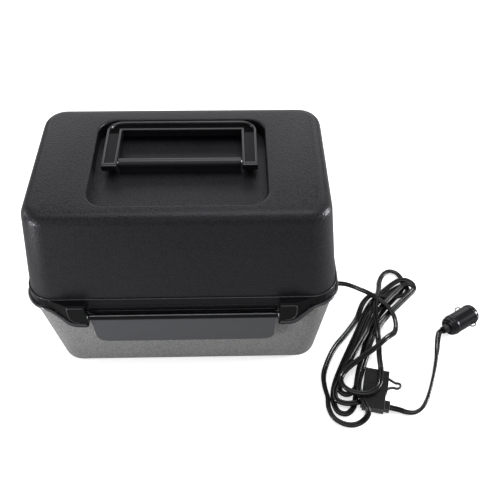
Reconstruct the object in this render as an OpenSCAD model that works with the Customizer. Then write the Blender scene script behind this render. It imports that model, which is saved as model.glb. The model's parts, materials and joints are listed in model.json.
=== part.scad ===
// Electric lunch box: an insulated case heated from a vehicle's 12 volt socket.
// A deep lid is hinged along the back, a latch hangs from its front edge and a folding
// handle lies in its top. The lead carries a fuse holder and ends in a 12 volt plug.
// X runs to the right, Y to the back and Z up; the origin is under the middle of the base.

/* [Case] */
// Width of the lid's wall at the joint with the base
case_width = 270; // [262:1:290]
// Depth of the lid's wall at the joint with the base
case_depth = 166; // [160:1:180]
// Overall height on its feet
case_height = 198; // [185:1:220]
// Height of the joint between base and lid
seam_height = 98; // [92:1:110]
// Gap between the base rim and the lid rim
seam_gap = 0.4; // [0.3:0.1:0.6]
// How much narrower the lid's top is than its wall at the joint
lid_draft_width = 21.5; // [12:0.5:26]
// How much shallower the lid's top is than its wall at the joint
lid_draft_depth = 20.5; // [12:0.5:24]
// How much narrower the base's bottom is than its rim
base_draft_width = 21; // [12:0.5:26]
// How much shallower the base's bottom is than its rim
base_draft_depth = 21; // [12:0.5:24]
// How far the base rim stands inside the lid's wall, on each side
rim_setback = 1; // [0.5:0.1:2]
// Corner radius in plan at the joint
corner_radius = 24; // [20:1:30]
// Corner radius in plan at the top and the bottom
end_corner_radius = 20; // [16:1:24]
// Rounding of the lid's top edge
top_edge_radius = 10; // [6:0.5:13]
// Rounding of the base's bottom edge
bottom_edge_radius = 6; // [4:0.5:8]
// Thickness of the moulded walls
wall = 2.6; // [2:0.1:3.2]
// Height of the band round the lid's lower edge
lip_height = 13.4; // [11:0.2:16]
// Height of the lower, thicker part of that band
lip_bead_height = 5.4; // [4:0.2:7]
// How far the lower part of the band stands proud
lip_proud = 1.2; // [0.8:0.1:1.6]
// How far the upper part of the band stands proud
lip_upper_proud = 0.6; // [0.3:0.1:0.8]

/* [Food space] */
// Inner width of both metal linings
cavity_width = 212; // [200:1:214]
// Inner depth of both metal linings
cavity_depth = 112; // [100:1:113]
// Corner radius of the linings
cavity_corner = 18; // [12:1:22]
// Depth of the pan in the base
pan_depth = 71; // [60:1:72]
// Height of the hood in the lid
hood_height = 67; // [55:1:68]
// Sheet thickness of the linings
sheet = 1; // [0.8:0.1:1.2]
// Width of the rubber seal in the lid
seal_width = 4.4; // [3.5:0.1:4.6]
// Thickness of the rubber seal
seal_thickness = 2; // [1.6:0.1:2.4]
// Gap between the closed seal and the pan's flange
seal_gap = 0.3; // [0.3:0.05:0.5]

/* [Handle] */
// Width of the folding handle
handle_width = 131; // [122:1:138]
// Distance from the handle's pivot to its back edge
handle_reach = 52.5; // [46:0.5:53]
// Width of each handle leg
leg_width = 13.2; // [12:0.2:15]
// Width of the handle's cross bar
grip_width = 12.6; // [11:0.2:16]
// Thickness of the handle
handle_thickness = 8; // [7.4:0.2:8.6]
// Depth of the channels in the handle's two faces
channel_depth = 1.6; // [1:0.1:2.2]
// Width of the rims beside those channels
channel_rim = 2.3; // [1.8:0.1:3]
// Distance of the handle's pivot in front of the case's middle
pivot_forward = 1.5; // [0:0.5:3]
// How far the heels of the legs reach in front of the pivot
heel_reach = 8; // [7:0.1:8.2]
// Thickness of the heels
heel_thickness = 5.4; // [4.6:0.2:6]
// Width of the sunk field in the lid's top
recess_width = 146; // [140:1:156]
// Distance from the handle's pivot to the field's front edge
recess_front = 55.5; // [50:0.5:58]
// Depth of the sunk field
recess_depth = 13.4; // [12.8:0.1:14]
// Gap between the folded handle and the field's back edge
handle_gap = 1.4; // [1:0.1:2]
// Gap between each end of the pivot bar and the leg beside it
pivot_bar_gap = 0.7; // [0.4:0.1:1.2]
// Thickness of the web that holds the pivot bar up from the field's floor
bar_web = 5; // [4.6:0.2:8]
// Diameter of the handle's pivot pins
handle_pin = 3.2; // [2.8:0.1:3.4]

/* [Latch] */
// Width of the latch
latch_width = 164; // [150:1:170]
// Height of the latch's panel
latch_height = 39; // [36:0.5:42]
// Distance of the latch's pivot in front of the base rim
latch_forward = 6; // [5.8:0.1:7]
// Distance of the latch's pivot below the joint
latch_drop = 3.4; // [3:0.1:4]
// Radius of the latch's rolled top edge
latch_roll = 2.8; // [2.6:0.1:3.2]
// Thickness of the latch's panel
latch_sheet = 2.4; // [2:0.1:2.8]
// Corner radius of the latch's lower corners
latch_corner = 10.5; // [6:0.5:14]
// How far the latch's sides taper in, on each side
latch_taper = 0.5; // [0:0.5:3]
// How far the hook reaches behind the catch rail
hook_engagement = 1.5; // [1:0.1:1.8]
// Length of the hook and of the catch rail
hook_length = 80; // [60:1:110]
// Diameter of the latch's pin
latch_pin = 2.8; // [2.4:0.1:3]
// Width of each of the lid's ears beside the latch
ear_width = 29; // [27:0.5:31]
// Gap between the latch and each ear
ear_gap = 1; // [0.6:0.1:1.6]
// How far the catch rail stands out of the base's front wall
rail_proud = 3.2; // [2.8:0.1:3.4]

/* [Hinge] */
// Distance of the hinge line behind the lid's wall
hinge_back = 6.5; // [6.3:0.1:8]
// Radius of the hinge knuckles
knuckle_radius = 5; // [4.4:0.1:5]
// Length of the lid's knuckle in each hinge
lid_knuckle = 24; // [16:1:30]
// Length of each of the base's knuckles
base_knuckle = 10; // [8:1:14]
// Side gap between neighbouring knuckles
knuckle_gap = 0.5; // [0.3:0.1:1]
// Distance of each hinge from the case's middle
hinge_offset = 70; // [50:1:80]
// Diameter of the hinge pins
hinge_pin = 3; // [2.6:0.1:3.2]
// Radial running clearance of all pins
pin_clearance = 0.05; // [0.03:0.01:0.1]

/* [Feet] */
// Diameter of the rubber feet
foot_diameter = 16; // [12:1:20]
// How far the feet stand below the base
foot_drop = 1.5; // [1:0.1:2.5]
// Distance of the feet from the middle, along the width
foot_x = 98; // [80:1:100]
// Distance of the feet from the middle, along the depth
foot_y = 46; // [35:1:48]

/* [Heater] */
// Width of the heater's mica sheets
heater_width = 184; // [160:1:190]
// Depth of the heater's mica sheets
heater_depth = 92; // [84:1:96]
// Thickness of the lower mica sheet
mica_lower = 1; // [0.8:0.1:1.4]
// Thickness of the upper mica sheet
mica_upper = 0.8; // [0.5:0.1:1]
// Thickness of the heating ribbon
ribbon_thickness = 0.6; // [0.4:0.1:0.8]
// Width of the heating ribbon
ribbon_width = 4; // [3:0.5:5]
// Number of ribbon runs, an even number
ribbon_runs = 12; // [8:2:14]
// Thickness of the plate that clamps the heater to the pan
clamp_thickness = 1.4; // [1:0.1:1.8]
// Diameter of the pan's studs
stud_diameter = 4; // [3:0.5:5]
// Diameter of the thermostat
thermostat_diameter = 16; // [12:1:18]
// Height of the thermostat
thermostat_height = 5.5; // [4:0.5:6]

/* [Lead] */
// Width of the flat twin lead
lead_width = 5.5; // [5:0.1:5.8]
// Thickness of the flat twin lead
lead_thickness = 2.8; // [2.4:0.1:3]
// Height of the folded hank of lead
hank_height = 9; // [8:0.5:9]
// Height of the lead's outlet in the base's right wall
outlet_height = 28.5; // [28.5:0.5:29]
// Width of the fuse holder
fuse_width = 20; // [19:0.5:20]
// Length of the fuse holder with its cap
fuse_length = 42; // [40:0.5:43]
// Height of the fuse holder
fuse_height = 8.4; // [8:0.2:8.6]
// Length of the fuse holder's cap
cap_length = 15.8; // [14:0.2:16]
// How far the cap stands proud of the holder's sides
cap_proud = 1.4; // [1:0.1:1.5]

/* [Plug] */
// Diameter of the plug's body
plug_diameter = 20; // [19:0.2:20.4]
// Diameter of the plug's collar and ring
collar_diameter = 20.6; // [20.4:0.1:21]
// Length of the plug from collar to ring
plug_length = 35.5; // [34:0.5:38]
// Length of the rear collar
collar_length = 9; // [7:0.5:10]
// Length of the front ring
ring_length = 6; // [5:0.5:8]
// Diameter of the centre contact
tip_diameter = 6.6; // [5.5:0.1:7.5]
// How far the centre contact stands out of the ring
tip_length = 4; // [3.6:0.2:5]
// Travel of the sprung centre contact
tip_travel = 3; // [2:0.5:3.2]

/* [Hidden] */
$fn = 48;

corner_steps = 32;
thin = 0.01;
overlap = 0.2;
loose = 0.4;
tangent_gap = 0.05;

// Half sizes and levels of the case
lid_half = [case_width / 2, case_depth / 2];
lid_top_half = [(case_width - lid_draft_width) / 2, (case_depth - lid_draft_depth) / 2];
rim_half = [case_width / 2 - rim_setback, case_depth / 2 - rim_setback];
foot_half = [rim_half[0] - base_draft_width / 2, rim_half[1] - base_draft_depth / 2];
lid_bottom = seam_height + seam_gap;
base_bottom = foot_drop;
base_height = seam_height - base_bottom;
lid_height = case_height - lid_bottom;
base_slope = (base_draft_depth / 2) / base_height;
base_tilt = atan(base_slope);

// Linings, seal and what fixes them
pan_half = [cavity_width / 2 + sheet, cavity_depth / 2 + sheet];
pan_floor = seam_height - pan_depth;
pan_under = pan_floor - sheet;
lid_flange = seam_height + seal_gap + seal_thickness;
hood_top = lid_flange + hood_height;
flange_fit = 0.5;
post_radius = 4;
post_bore = 1.25;
screw_radius = 1.2;
screw_head = 3;
screw_head_height = 1.4;
screw_length = 10;
post_offset = 7.5;
base_post_y = 36;
lid_post_y = 14;
lid_post_x = 52;
base_posts = [for (x = [-1, 1], y = [-1, 1]) [x * (pan_half[0] + post_offset), y * base_post_y],
    for (y = [-1, 1]) [0, y * (pan_half[1] + post_offset)]];
lid_posts = [for (x = [-1, 1], y = [-1, 1]) [x * (pan_half[0] + post_offset), y * lid_post_y],
    for (x = [-1, 1], y = [-1, 1]) [x * lid_post_x, y * (pan_half[1] + post_offset)]];
wool_gap = 0.4;
wool_foot = 5;
wool_outer = [foot_half[0] - wall - 1, foot_half[1] - wall - 1];
wool_thickness = 6;

// Handle and its field in the lid's top
pivot = [0, -pivot_forward, case_height - handle_thickness / 2];
handle_back = pivot[1] + handle_reach;
recess_back = handle_back + handle_gap;
recess_floor = case_height - recess_depth;
recess_corner = 16;
recess_y = (recess_back + pivot[1] - recess_front) / 2;
recess_length = recess_back - pivot[1] + recess_front;
handle_corner = 14;
pivot_bar_radius = handle_thickness / 2;
bar_screw_offset = 30;
pin_in_leg = 9;
pin_in_bar = 10;
leg_inside = handle_width / 2 - leg_width;
pivot_bar_length = 2 * (leg_inside - pivot_bar_gap);

// Latch, its catch and its ears
latch_pivot = [0, -(rim_half[1] + latch_forward), seam_height - latch_drop];
latch_front = latch_roll - 2.4;
latch_top = 3.7;
latch_flange = 1.8;
wall_clearance = 0.8;
latch_depth = latch_forward + latch_front + base_slope * (latch_drop + latch_top) - wall_clearance;
rail_drop = 34.5;
rail_height = 3.5;
hook_height = 2.4;
hook_gap = 0.5;
ear_inside = latch_width / 2 + ear_gap;
ear_face = rim_half[1] + 7.5;
ear_back = rim_half[1] + 0.6;
ear_foot = latch_pivot[2] - 11.6;
ear_pad = 1;
ear_pad_size = [15.5, 20.5];
ear_pad_corner = 9;
pin_grip = 9;

// Hinge
hinge = [0, lid_half[1] + hinge_back, seam_height + seam_gap / 2];
hinge_span = lid_knuckle + 2 * base_knuckle + 2 * knuckle_gap;
knuckle_root = 3;

// Heater stack under the pan
ribbon_top = pan_under - mica_upper;
board_top = ribbon_top - ribbon_thickness;
clamp_top = board_top - mica_lower;
clamp_under = clamp_top - clamp_thickness;
ribbon_pitch = 12;
ribbon_reach = 38;
stud_x = 84;
stud_y = 38;
stud_spots = [for (x = [-1, 1], y = [-1, 1]) [x * stud_x, y * stud_y]];
stud_length = 4.5;
nut_radius = 3.6;
nut_height = 2.4;
floor_top = base_bottom + wall;
terminal_x = (ribbon_runs - 1) / 2 * ribbon_pitch;
terminal_drop = 8;
wire_radius = 1.1;
thermostat_spot = [36, 0];
thermal_fuse_spot = [-24, 0];
block_from_wall = 20.9;
block_spot = [foot_half[0] - wall - block_from_wall, 0];
block_size = [16, 20, 8];

// Outlet of the lead
outlet_boss = 9;
outlet_wall_in = foot_half[0] - wall;
outlet_wall_out = rim_half[0] - base_draft_width / 2 + 5;
relief_length = 19.5;
gland_bore_radius = 5;

// Plug: its rear face, the direction of its axis and its parts along it
plug_radius = plug_diameter / 2;
collar_radius = collar_diameter / 2;
plug_rear = [259, -44.5, collar_radius];
plug_turn = 31.5;
ring_start = plug_length - ring_length;
relief_back = 7;
tip_shank = 2.4;
tip_back = 14;
contact_spot = 25;
contact_wire = 0.6;
contact_radius = 3.6;
contact_root = 6.4;

// Fuse holder on the lead
fuse_spot = [176.2, -112.2];
fuse_turn = -14;
cap_rise = 0.8;
cap_height = fuse_height + 2 * cap_rise;
cap_start = fuse_length / 2 - cap_length;
neck_length = 5;
fuse_shell = 1.8;
tongue_half = 8;
tongue_sink = 1.6;
cap_gap = 0.2;
fuse_blade = 12;
blade_start = 9;
contact_start = -12;

fuse_across = [cos(fuse_turn), sin(fuse_turn)];
fuse_along = [-sin(fuse_turn), cos(fuse_turn)];
nub_spot = -14.2;
nub_size = [9, 7];
nub_level = 4.3;
tail_nub = 5;
hank_nub = cap_proud + 0.3;
lead_step = 5;

// Point beside the fuse holder: x across it and y towards its cap
function fuse_point(x, y) = fuse_spot + x * fuse_across + y * fuse_along;
function raised(point, level) = [point[0], point[1], level];

// The hank: its lobe beside the fuse holder, then chains of round-ended runs, each
// given by the middles and the radius of its ends
lobe_radius = 12;
lobe_x = -(fuse_width / 2 + hank_nub + lobe_radius);
lobe = [fuse_point(lobe_x, -27), fuse_point(lobe_x, 8.5)];
hank_runs = [[lobe[0], lobe[1], lobe_radius], [lobe[1], [162, -77], 11], [[162, -77], [181, -41], 10.5],
    [[181, -41], [187, -30], 9], [[187, -30], [227.5, 9.5], 8.6], [[207, 8], [211, 26], 14]];
hank_strand = [[187, -2], [166, -26], [145, -58], [134, -78], [131, -99], [136, -118]];
strand_radius = 3;
entry_run = [[187.5, -64], [196, 2]];
entry_radius = 4.6;
entry_level = 4.4;
entry_ahead = (entry_run[1] - entry_run[0]) / norm(entry_run[1] - entry_run[0]);

// Route of the lead: out of the gland, over the hank, round to its right, back over
// it, over the fuse holder and down into the hank
gland_tip = outlet_wall_out + relief_length;
lead_route = [[gland_tip, 0, outlet_height], [gland_tip + lead_step, 0, outlet_height],
    [160, 0, 27], [167, -0.2, 23.8], [174, -0.5, 19.8], [181, -1, 16], [188, -3, 12.8],
    [194, -7, 11], [200, -13, 10.8], [204.5, -20.5, 10.8], [208, -29, 8.6], [209, -37, 5],
    [206.5, -44.5, 4.4], [201.5, -50.5, 8], [195, -56.5, 10.8], [184.5, -66, 10.8],
    [173, -74.5, 10.8], [161, -83.5, 10.8], [150, -93, 10.8], [144.5, -101, 10.8],
    [145.2, -109, 11], [152, -115.8, 11.6], [162, -119, 12.4], [172, -117.4, 12.4],
    [179.4, -110, 12.4], [182.4, -100, 12.4], [183.9, -91.4, 12], [184.8, -85, 9.2],
    [185.6, -79, 6.6], [186.3, -74, 4.8],
    raised(entry_run[0] - lead_step * entry_ahead, entry_level), raised(entry_run[0], entry_level)];

// Route of the lead's last stretch: out of the fuse holder, round and up into the plug
plug_ahead = [cos(plug_turn), sin(plug_turn), 0];
tail_start = fuse_width / 2 + tail_nub;
tail_route = [raised(fuse_point(tail_start, nub_spot), nub_level),
    raised(fuse_point(tail_start + lead_step - 1, nub_spot), nub_level - 0.4),
    [197, -131.6, 2.8], [202.5, -133.4, 1.9], [210, -134.4, 1.9], [217.5, -130.5, 1.9],
    [224, -122, 1.9], [229, -112, 1.9], [233.6, -101, 1.9], [238.2, -89, 1.9], [242, -78, 2.2],
    [244.7, -68.5, 3.4], [246.4, -61, 5.8], [247.7, -54.8, 8.6],
    plug_rear - (relief_back + lead_step - 1) * plug_ahead, plug_rear - relief_back * plug_ahead];

// Two wires from the outlet to the terminal block, and on to the heater
block_side = [block_spot[0] + block_size[0] / 2, block_spot[0] - block_size[0] / 2];
wire_level = 11.6;
gland_inner = outlet_wall_in - 1.6 - 3;
outlet_wires = [for (side = [-1, 1])
    [[gland_inner, side * 2, outlet_height], [gland_inner - 2.4, side * 2, outlet_height],
        [outlet_wall_in - 8.7, side * 2.2, 26.4], [outlet_wall_in - 9.5, side * 3, 21],
        [outlet_wall_in - 9.3, side * 3.8, 15], [outlet_wall_in - 10.1, side * 4, 12.6],
        [block_side[0] + 1.6, side * 4, wire_level], [block_side[0], side * 4, wire_level]]];
tab_level = clamp_under - thermostat_height + 0.5;
tab_reach = thermostat_diameter / 2 + 5.4;
thermal_fuse_level = clamp_under - 3;
terminal_level = board_top - terminal_drop + 1.2;
terminal_y = -ribbon_reach - 3;
heater_wires = [
    [[block_side[1], 4, wire_level], [block_side[1] - 3, 4, wire_level], [78, 3.4, 13], [62, 1.6, 15.6],
        [thermostat_spot[0] + tab_reach + 3, 0, tab_level], [thermostat_spot[0] + tab_reach, 0, tab_level]],
    [[thermostat_spot[0] - tab_reach, 0, tab_level], [thermostat_spot[0] - tab_reach - 3, 0, tab_level],
        [8, 0, 18.2], [-4, 0, 19], [thermal_fuse_spot[0] + 13, 0, thermal_fuse_level],
        [thermal_fuse_spot[0] + 10, 0, thermal_fuse_level]],
    [[thermal_fuse_spot[0] - 10, 0, thermal_fuse_level], [thermal_fuse_spot[0] - 13, 0, thermal_fuse_level],
        [-48, -8, 18.8], [-58, -22, 18.2], [-64.4, -32, 17.9], [-terminal_x, terminal_y + 3, terminal_level],
        [-terminal_x, terminal_y, terminal_level]],
    [[block_side[1], -4, wire_level], [block_side[1] - 3, -4, wire_level], [80, -12, 13.6], [70, -27, 16.6],
        [66.8, -33.5, 17.6], [terminal_x, terminal_y + 3, terminal_level],
        [terminal_x, terminal_y, terminal_level]]];

case_colour = [0.13, 0.13, 0.14];
gloss_colour = [0.09, 0.09, 0.1];
steel_colour = [0.75, 0.76, 0.78];
alloy_colour = [0.8, 0.81, 0.83];

// ---- Shared shapes ----

// Four children spots at the corners of a rectangle, given by its half sizes
module at_corners(half) {
    for (x = [-1, 1], y = [-1, 1])
        translate([x * half[0], y * half[1], 0])
            children();
}

// A thin flat slab with rounded corners, used as one end of a drafted block
module slab(half, radius, level) {
    translate([0, 0, level])
        at_corners([half[0] - radius, half[1] - radius])
            cylinder(r = radius, h = thin, $fn = corner_steps);
}

// Rounded end of a drafted block: its corners and its edge are both round
module rounded_end(half, radius, edge, level) {
    translate([0, 0, level])
        at_corners([half[0] - radius, half[1] - radius])
            rotate_extrude($fn = corner_steps)
                translate([radius - edge, 0])
                    circle(r = edge, $fn = corner_steps);
}

// A flat outline with round corners
module rounded_outline(size, radius) {
    square([size[0] - 2 * radius, size[1]], center = true);
    square([size[0], size[1] - 2 * radius], center = true);
    for (x = [-1, 1], y = [-1, 1])
        translate([x * (size[0] / 2 - radius), y * (size[1] / 2 - radius)])
            circle(r = radius);
}

// A round-ended run between two points of a flat outline
module run_outline(from, to, radius) {
    along = to - from;
    translate(from)
        circle(r = radius);
    translate(to)
        circle(r = radius);
    translate(from)
        rotate(atan2(along[1], along[0]))
            translate([0, tangent_gap - radius])
                square([norm(along), 2 * (radius - tangent_gap)]);
}

// Rod along X, centred
module rod(radius, length) {
    rotate([0, 90, 0])
        cylinder(r = radius, h = length, center = true);
}

function unit(v) = v / norm(v);
function heading(route, i) =
    unit(route[min(i + 1, len(route) - 1)] - route[max(i - 1, 0)]);
function sideways(direction) = unit(cross(direction, [0, 0, 1]));
function ring(route, i, half_width, half_height, sides) =
    let (ahead = heading(route, i), across = sideways(ahead), up = cross(across, ahead))
    [for (k = [0 : sides - 1])
        let (a = 360 * (k + 0.5) / sides)
        route[i] + across * half_width * cos(a) + up * half_height * sin(a)];

// A flat or round lead swept along the points of its route
module swept(route, half_width, half_height, sides = 8) {
    rings = len(route);
    points = [for (i = [0 : rings - 1]) each ring(route, i, half_width, half_height, sides)];
    walls = [for (i = [0 : rings - 2], k = [0 : sides - 1])
        let (a = i * sides + k, b = i * sides + (k + 1) % sides)
        each [[a, b, a + sides], [b, b + sides, a + sides]]];
    near_end = [for (k = [1 : sides - 2]) [0, k + 1, k]];
    far_end = [for (k = [1 : sides - 2]) [(rings - 1) * sides, (rings - 1) * sides + k, (rings - 1) * sides + k + 1]];
    polyhedron(points = points, faces = concat(walls, near_end, far_end), convexity = 6);
}

// ---- Base ----

function base_half_at(level) =
    let (share = (level - base_bottom) / base_height)
    [foot_half[0] + (rim_half[0] - foot_half[0]) * share,
        foot_half[1] + (rim_half[1] - foot_half[1]) * share];

module base_block() {
    hull() {
        rounded_end(foot_half, end_corner_radius, bottom_edge_radius, base_bottom + bottom_edge_radius);
        slab(rim_half, corner_radius, seam_height - thin);
    }
}

module base_hollow() {
    hull() {
        rounded_end(foot_half - [wall, wall], end_corner_radius - wall, bottom_edge_radius - wall / 2,
            base_bottom + wall / 2 + bottom_edge_radius);
        slab(rim_half - [wall, wall], corner_radius - wall, seam_height + 1);
    }
}

// Knuckle of a hinge with the web that joins it to its wall
module knuckle(length, web) {
    rotate([90, 0, 90])
        linear_extrude(height = length, center = true) {
            circle(r = knuckle_radius);
            polygon(web);
        }
}

module base_shell() {
    web_in = rim_half[1] - wall / 2 - hinge[1];
    web = [[knuckle_radius, -loose], [web_in, -loose - 0.2], [web_in - 1.2, -knuckle_radius * 3.2],
        [knuckle_radius * 0.7, -knuckle_radius * 0.72]];
    rail_front = base_half_at(seam_height - rail_drop)[1] + rail_proud;
    color(case_colour)
        difference() {
            union() {
                difference() {
                    base_block();
                    base_hollow();
                }
                intersection() {
                    for (spot = base_posts)
                        translate([spot[0], spot[1], floor_top - overlap])
                            cylinder(r = post_radius, h = seam_height - sheet - floor_top + overlap);
                    base_block();
                }
                for (side = [-1, 1], half = [-1, 1])
                    translate([side * hinge_offset + half * (hinge_span - base_knuckle) / 2, hinge[1], hinge[2]])
                        knuckle(base_knuckle, web);
                translate([outlet_wall_in - 1.6, 0, outlet_height])
                    rotate([0, 90, 0])
                        cylinder(r = outlet_boss, h = outlet_wall_out - outlet_wall_in + 1.6);
                translate([-hook_length / 2, -rail_front, seam_height - rail_drop - rail_height])
                    cube([hook_length, rail_proud + wall / 2, rail_height]);
                for (x = [-1, 1])
                    translate([block_spot[0] + x * 5, block_spot[1], floor_top - overlap])
                        cylinder(r = 2.4, h = 3 + overlap);
            }
            for (spot = base_posts)
                translate([spot[0], spot[1], seam_height - sheet - screw_length])
                    cylinder(r = post_bore, h = screw_length + 1);
            translate([0, hinge[1], hinge[2]])
                rod(hinge_pin / 2 + pin_clearance, 2 * hinge_offset + hinge_span + 2);
            translate([outlet_wall_in, 0, outlet_height])
                rotate([0, 90, 0])
                    cylinder(r = gland_bore_radius, h = 4 * wall, center = true);
            translate([outlet_wall_in, 0, outlet_height])
                rotate([0, 90, 0])
                    cylinder(r = gland_bore_radius, h = 20);
            for (x = [-1, 1], y = [-1, 1])
                translate([x * foot_x, y * foot_y, base_bottom - 1])
                    cylinder(r = foot_diameter / 2 + 0.1, h = 2);
            for (x = [-1, 1], y = [-1, 1])
                translate([x * foot_x, y * foot_y, base_bottom])
                    cylinder(r = 2.1, h = 10);
        }
}

module base_insulation() {
    low = floor_top;
    color([0.86, 0.8, 0.55])
        difference() {
            union() {
                translate([0, 0, low])
                    linear_extrude(height = wool_thickness)
                        rounded_outline(2 * wool_outer - 2 * [wool_foot, wool_foot], end_corner_radius - wool_foot);
                translate([0, 0, low + wool_thickness - thin])
                    linear_extrude(height = seam_height - sheet - 3 - low - wool_thickness)
                        rounded_outline(2 * wool_outer, end_corner_radius - 2);
            }
            translate([0, 0, low + wool_thickness])
                linear_extrude(height = seam_height)
                    rounded_outline(2 * pan_half + 2 * [wool_gap, wool_gap], cavity_corner + sheet);
            for (spot = base_posts)
                translate([spot[0], spot[1], -1])
                    cylinder(r = post_radius + wool_gap, h = seam_height + 2);
            for (x = [-1, 1], y = [-1, 1])
                translate([x * foot_x, y * foot_y, -1])
                    cylinder(r = 5, h = 20);
            translate([pan_half[0] - 8, -12, low - 1])
                cube([40, 24, outlet_height + 16 - low]);
            translate([block_spot[0] - 11, -14, low - 1])
                cube([40, 28, 20]);
        }
}

// Lining: a tub with a flange round its mouth. It opens upwards; its flange lies at level 0
module lining(depth, flange_half, flange_corner, posts) {
    difference() {
        union() {
            translate([0, 0, -sheet])
                linear_extrude(height = sheet)
                    rounded_outline(2 * flange_half, flange_corner);
            translate([0, 0, -depth - sheet])
                linear_extrude(height = depth + sheet)
                    rounded_outline(2 * pan_half, cavity_corner + sheet);
        }
        translate([0, 0, -depth])
            linear_extrude(height = depth + 1)
                rounded_outline([cavity_width, cavity_depth], cavity_corner);
        for (spot = posts)
            translate([spot[0], spot[1], -2 * sheet])
                cylinder(r = screw_radius + 0.3, h = 4 * sheet);
    }
}

module base_liner() {
    half = rim_half - [wall + flange_fit, wall + flange_fit];
    color(alloy_colour) {
        translate([0, 0, seam_height])
            lining(pan_depth, half, corner_radius - wall - flange_fit, base_posts);
        for (spot = stud_spots)
            translate([spot[0], spot[1], clamp_under - stud_length])
                cylinder(r = stud_diameter / 2, h = pan_under + sheet / 2 - clamp_under + stud_length);
    }
}

module heater_sheet(level, thickness, hole) {
    difference() {
        translate([0, 0, level])
            linear_extrude(height = thickness)
                rounded_outline([heater_width, heater_depth], 6);
        for (spot = stud_spots)
            translate([spot[0], spot[1], level - 1])
                cylinder(r = hole, h = thickness + 2);
    }
}

module heater_cover() {
    color([0.78, 0.72, 0.6])
        heater_sheet(ribbon_top, mica_upper, stud_diameter / 2 + 0.3);
}

// One flat ribbon folded into parallel runs
module heater_ribbon() {
    color([0.55, 0.52, 0.48])
        translate([0, 0, board_top])
            linear_extrude(height = ribbon_thickness)
                for (i = [0 : ribbon_runs - 1]) {
                    x = (i - (ribbon_runs - 1) / 2) * ribbon_pitch;
                    translate([x - ribbon_width / 2, -ribbon_reach])
                        square([ribbon_width, 2 * ribbon_reach]);
                    if (i < ribbon_runs - 1)
                        translate([x - ribbon_width / 2, (i % 2 == 0 ? ribbon_reach - ribbon_width : -ribbon_reach)])
                            square([ribbon_pitch + ribbon_width, ribbon_width]);
                }
}

module terminal_slots(level, height) {
    for (x = [-1, 1])
        translate([x * terminal_x, terminal_y - 0.5, level])
            cube([ribbon_width + 2, 2.4, height], center = true);
}

module heater_board() {
    color([0.72, 0.66, 0.54])
        difference() {
            heater_sheet(clamp_top, mica_lower, stud_diameter / 2 + 0.3);
            terminal_slots(clamp_top, 4 * mica_lower);
        }
}

module heater_clamp() {
    color(steel_colour)
        difference() {
            heater_sheet(clamp_under, clamp_thickness, stud_diameter / 2 + 0.3);
            for (x = [-1, 1])
                translate([x * terminal_x, terminal_y, clamp_under])
                    cube([12, 8, 8], center = true);
        }
}

module heater_nuts() {
    color(steel_colour)
        for (spot = stud_spots)
            translate([spot[0], spot[1], clamp_under - nut_height])
                difference() {
                    cylinder(r = nut_radius, h = nut_height, $fn = 6);
                    translate([0, 0, -1])
                        cylinder(r = stud_diameter / 2 + 0.02, h = nut_height + 2);
                }
}

// Tabs that leave the ribbon's two ends and reach down through the board
module heater_terminals() {
    color([0.8, 0.68, 0.35])
        for (x = [-1, 1])
            translate([x * terminal_x, -ribbon_reach, 0]) {
                translate([-ribbon_width / 2, -4, board_top])
                    cube([ribbon_width, 4, ribbon_thickness]);
                translate([-ribbon_width / 2, -4, board_top - terminal_drop])
                    cube([ribbon_width, 1, terminal_drop + ribbon_thickness]);
            }
}

module thermostat() {
    color([0.7, 0.7, 0.68])
        translate([thermostat_spot[0], thermostat_spot[1], clamp_under - thermostat_height]) {
            cylinder(r = thermostat_diameter / 2, h = thermostat_height);
            translate([0, 0, thermostat_height - 1])
                linear_extrude(height = 1)
                    rounded_outline([9, thermostat_diameter + 12], 4);
            translate([-tab_reach, -2.5, 0])
                cube([2 * tab_reach, 5, 1]);
        }
}

module thermal_fuse() {
    color([0.85, 0.84, 0.8])
        translate([thermal_fuse_spot[0], thermal_fuse_spot[1], thermal_fuse_level]) {
            rod(2, 20);
            translate([-5, -6, 2.2])
                cube([10, 12, 0.8]);
            translate([-5, -2.8, 0])
                cube([10, 5.6, 3]);
        }
}

module terminal_block() {
    color([0.92, 0.9, 0.84])
        translate([block_spot[0], block_spot[1], floor_top + 3])
            difference() {
                translate([-block_size[0] / 2, -block_size[1] / 2, 0])
                    cube(block_size);
                for (y = [-1, 1])
                    translate([0, y * 4, block_size[2] - 3])
                        cylinder(r = 2, h = 4);
            }
}

module inner_leads() {
    color([0.75, 0.2, 0.15])
        for (route = concat(outlet_wires, heater_wires))
            swept(route, wire_radius, wire_radius);
}

module pan_head_screws(spots, level, down) {
    for (spot = spots)
        translate([spot[0], spot[1], level])
            mirror([0, 0, down ? 0 : 1]) {
                cylinder(r = screw_head, h = screw_head_height);
                translate([0, 0, -screw_length + 1])
                    cylinder(r = screw_radius, h = screw_length);
            }
}

module base_liner_screws() {
    color(steel_colour)
        pan_head_screws(base_posts, seam_height, true);
}

module rubber_feet() {
    color([0.1, 0.1, 0.1])
        for (x = [-1, 1], y = [-1, 1])
            translate([x * foot_x, y * foot_y, 0]) {
                cylinder(r = foot_diameter / 2, h = base_bottom + 1);
                cylinder(r = 2, h = floor_top + 0.6);
                translate([0, 0, floor_top + 0.05])
                    cylinder(r = 2.8, h = 1.2);
            }
}

module hinge_pins() {
    color(steel_colour)
        for (side = [-1, 1])
            translate([side * hinge_offset, hinge[1], hinge[2]])
                rod(hinge_pin / 2, hinge_span - 0.6);
}

// Gland and tapered strain relief of the lead, along X
module cord_gland() {
    inner = gland_inner + 3;
    outer = outlet_wall_out;
    color(gloss_colour)
        translate([0, 0, outlet_height])
            rotate([0, 90, 0])
                rotate_extrude()
                    polygon([[0, gland_inner], [6.4, gland_inner], [6.4, inner], [gland_bore_radius - 0.1, inner],
                        [gland_bore_radius - 0.1, outer], [7.4, outer], [7.4, outer + 1.6], [5.6, outer + 2.2],
                        [3.7, gland_tip], [0, gland_tip]]);
}

// ---- Lid ----

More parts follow.
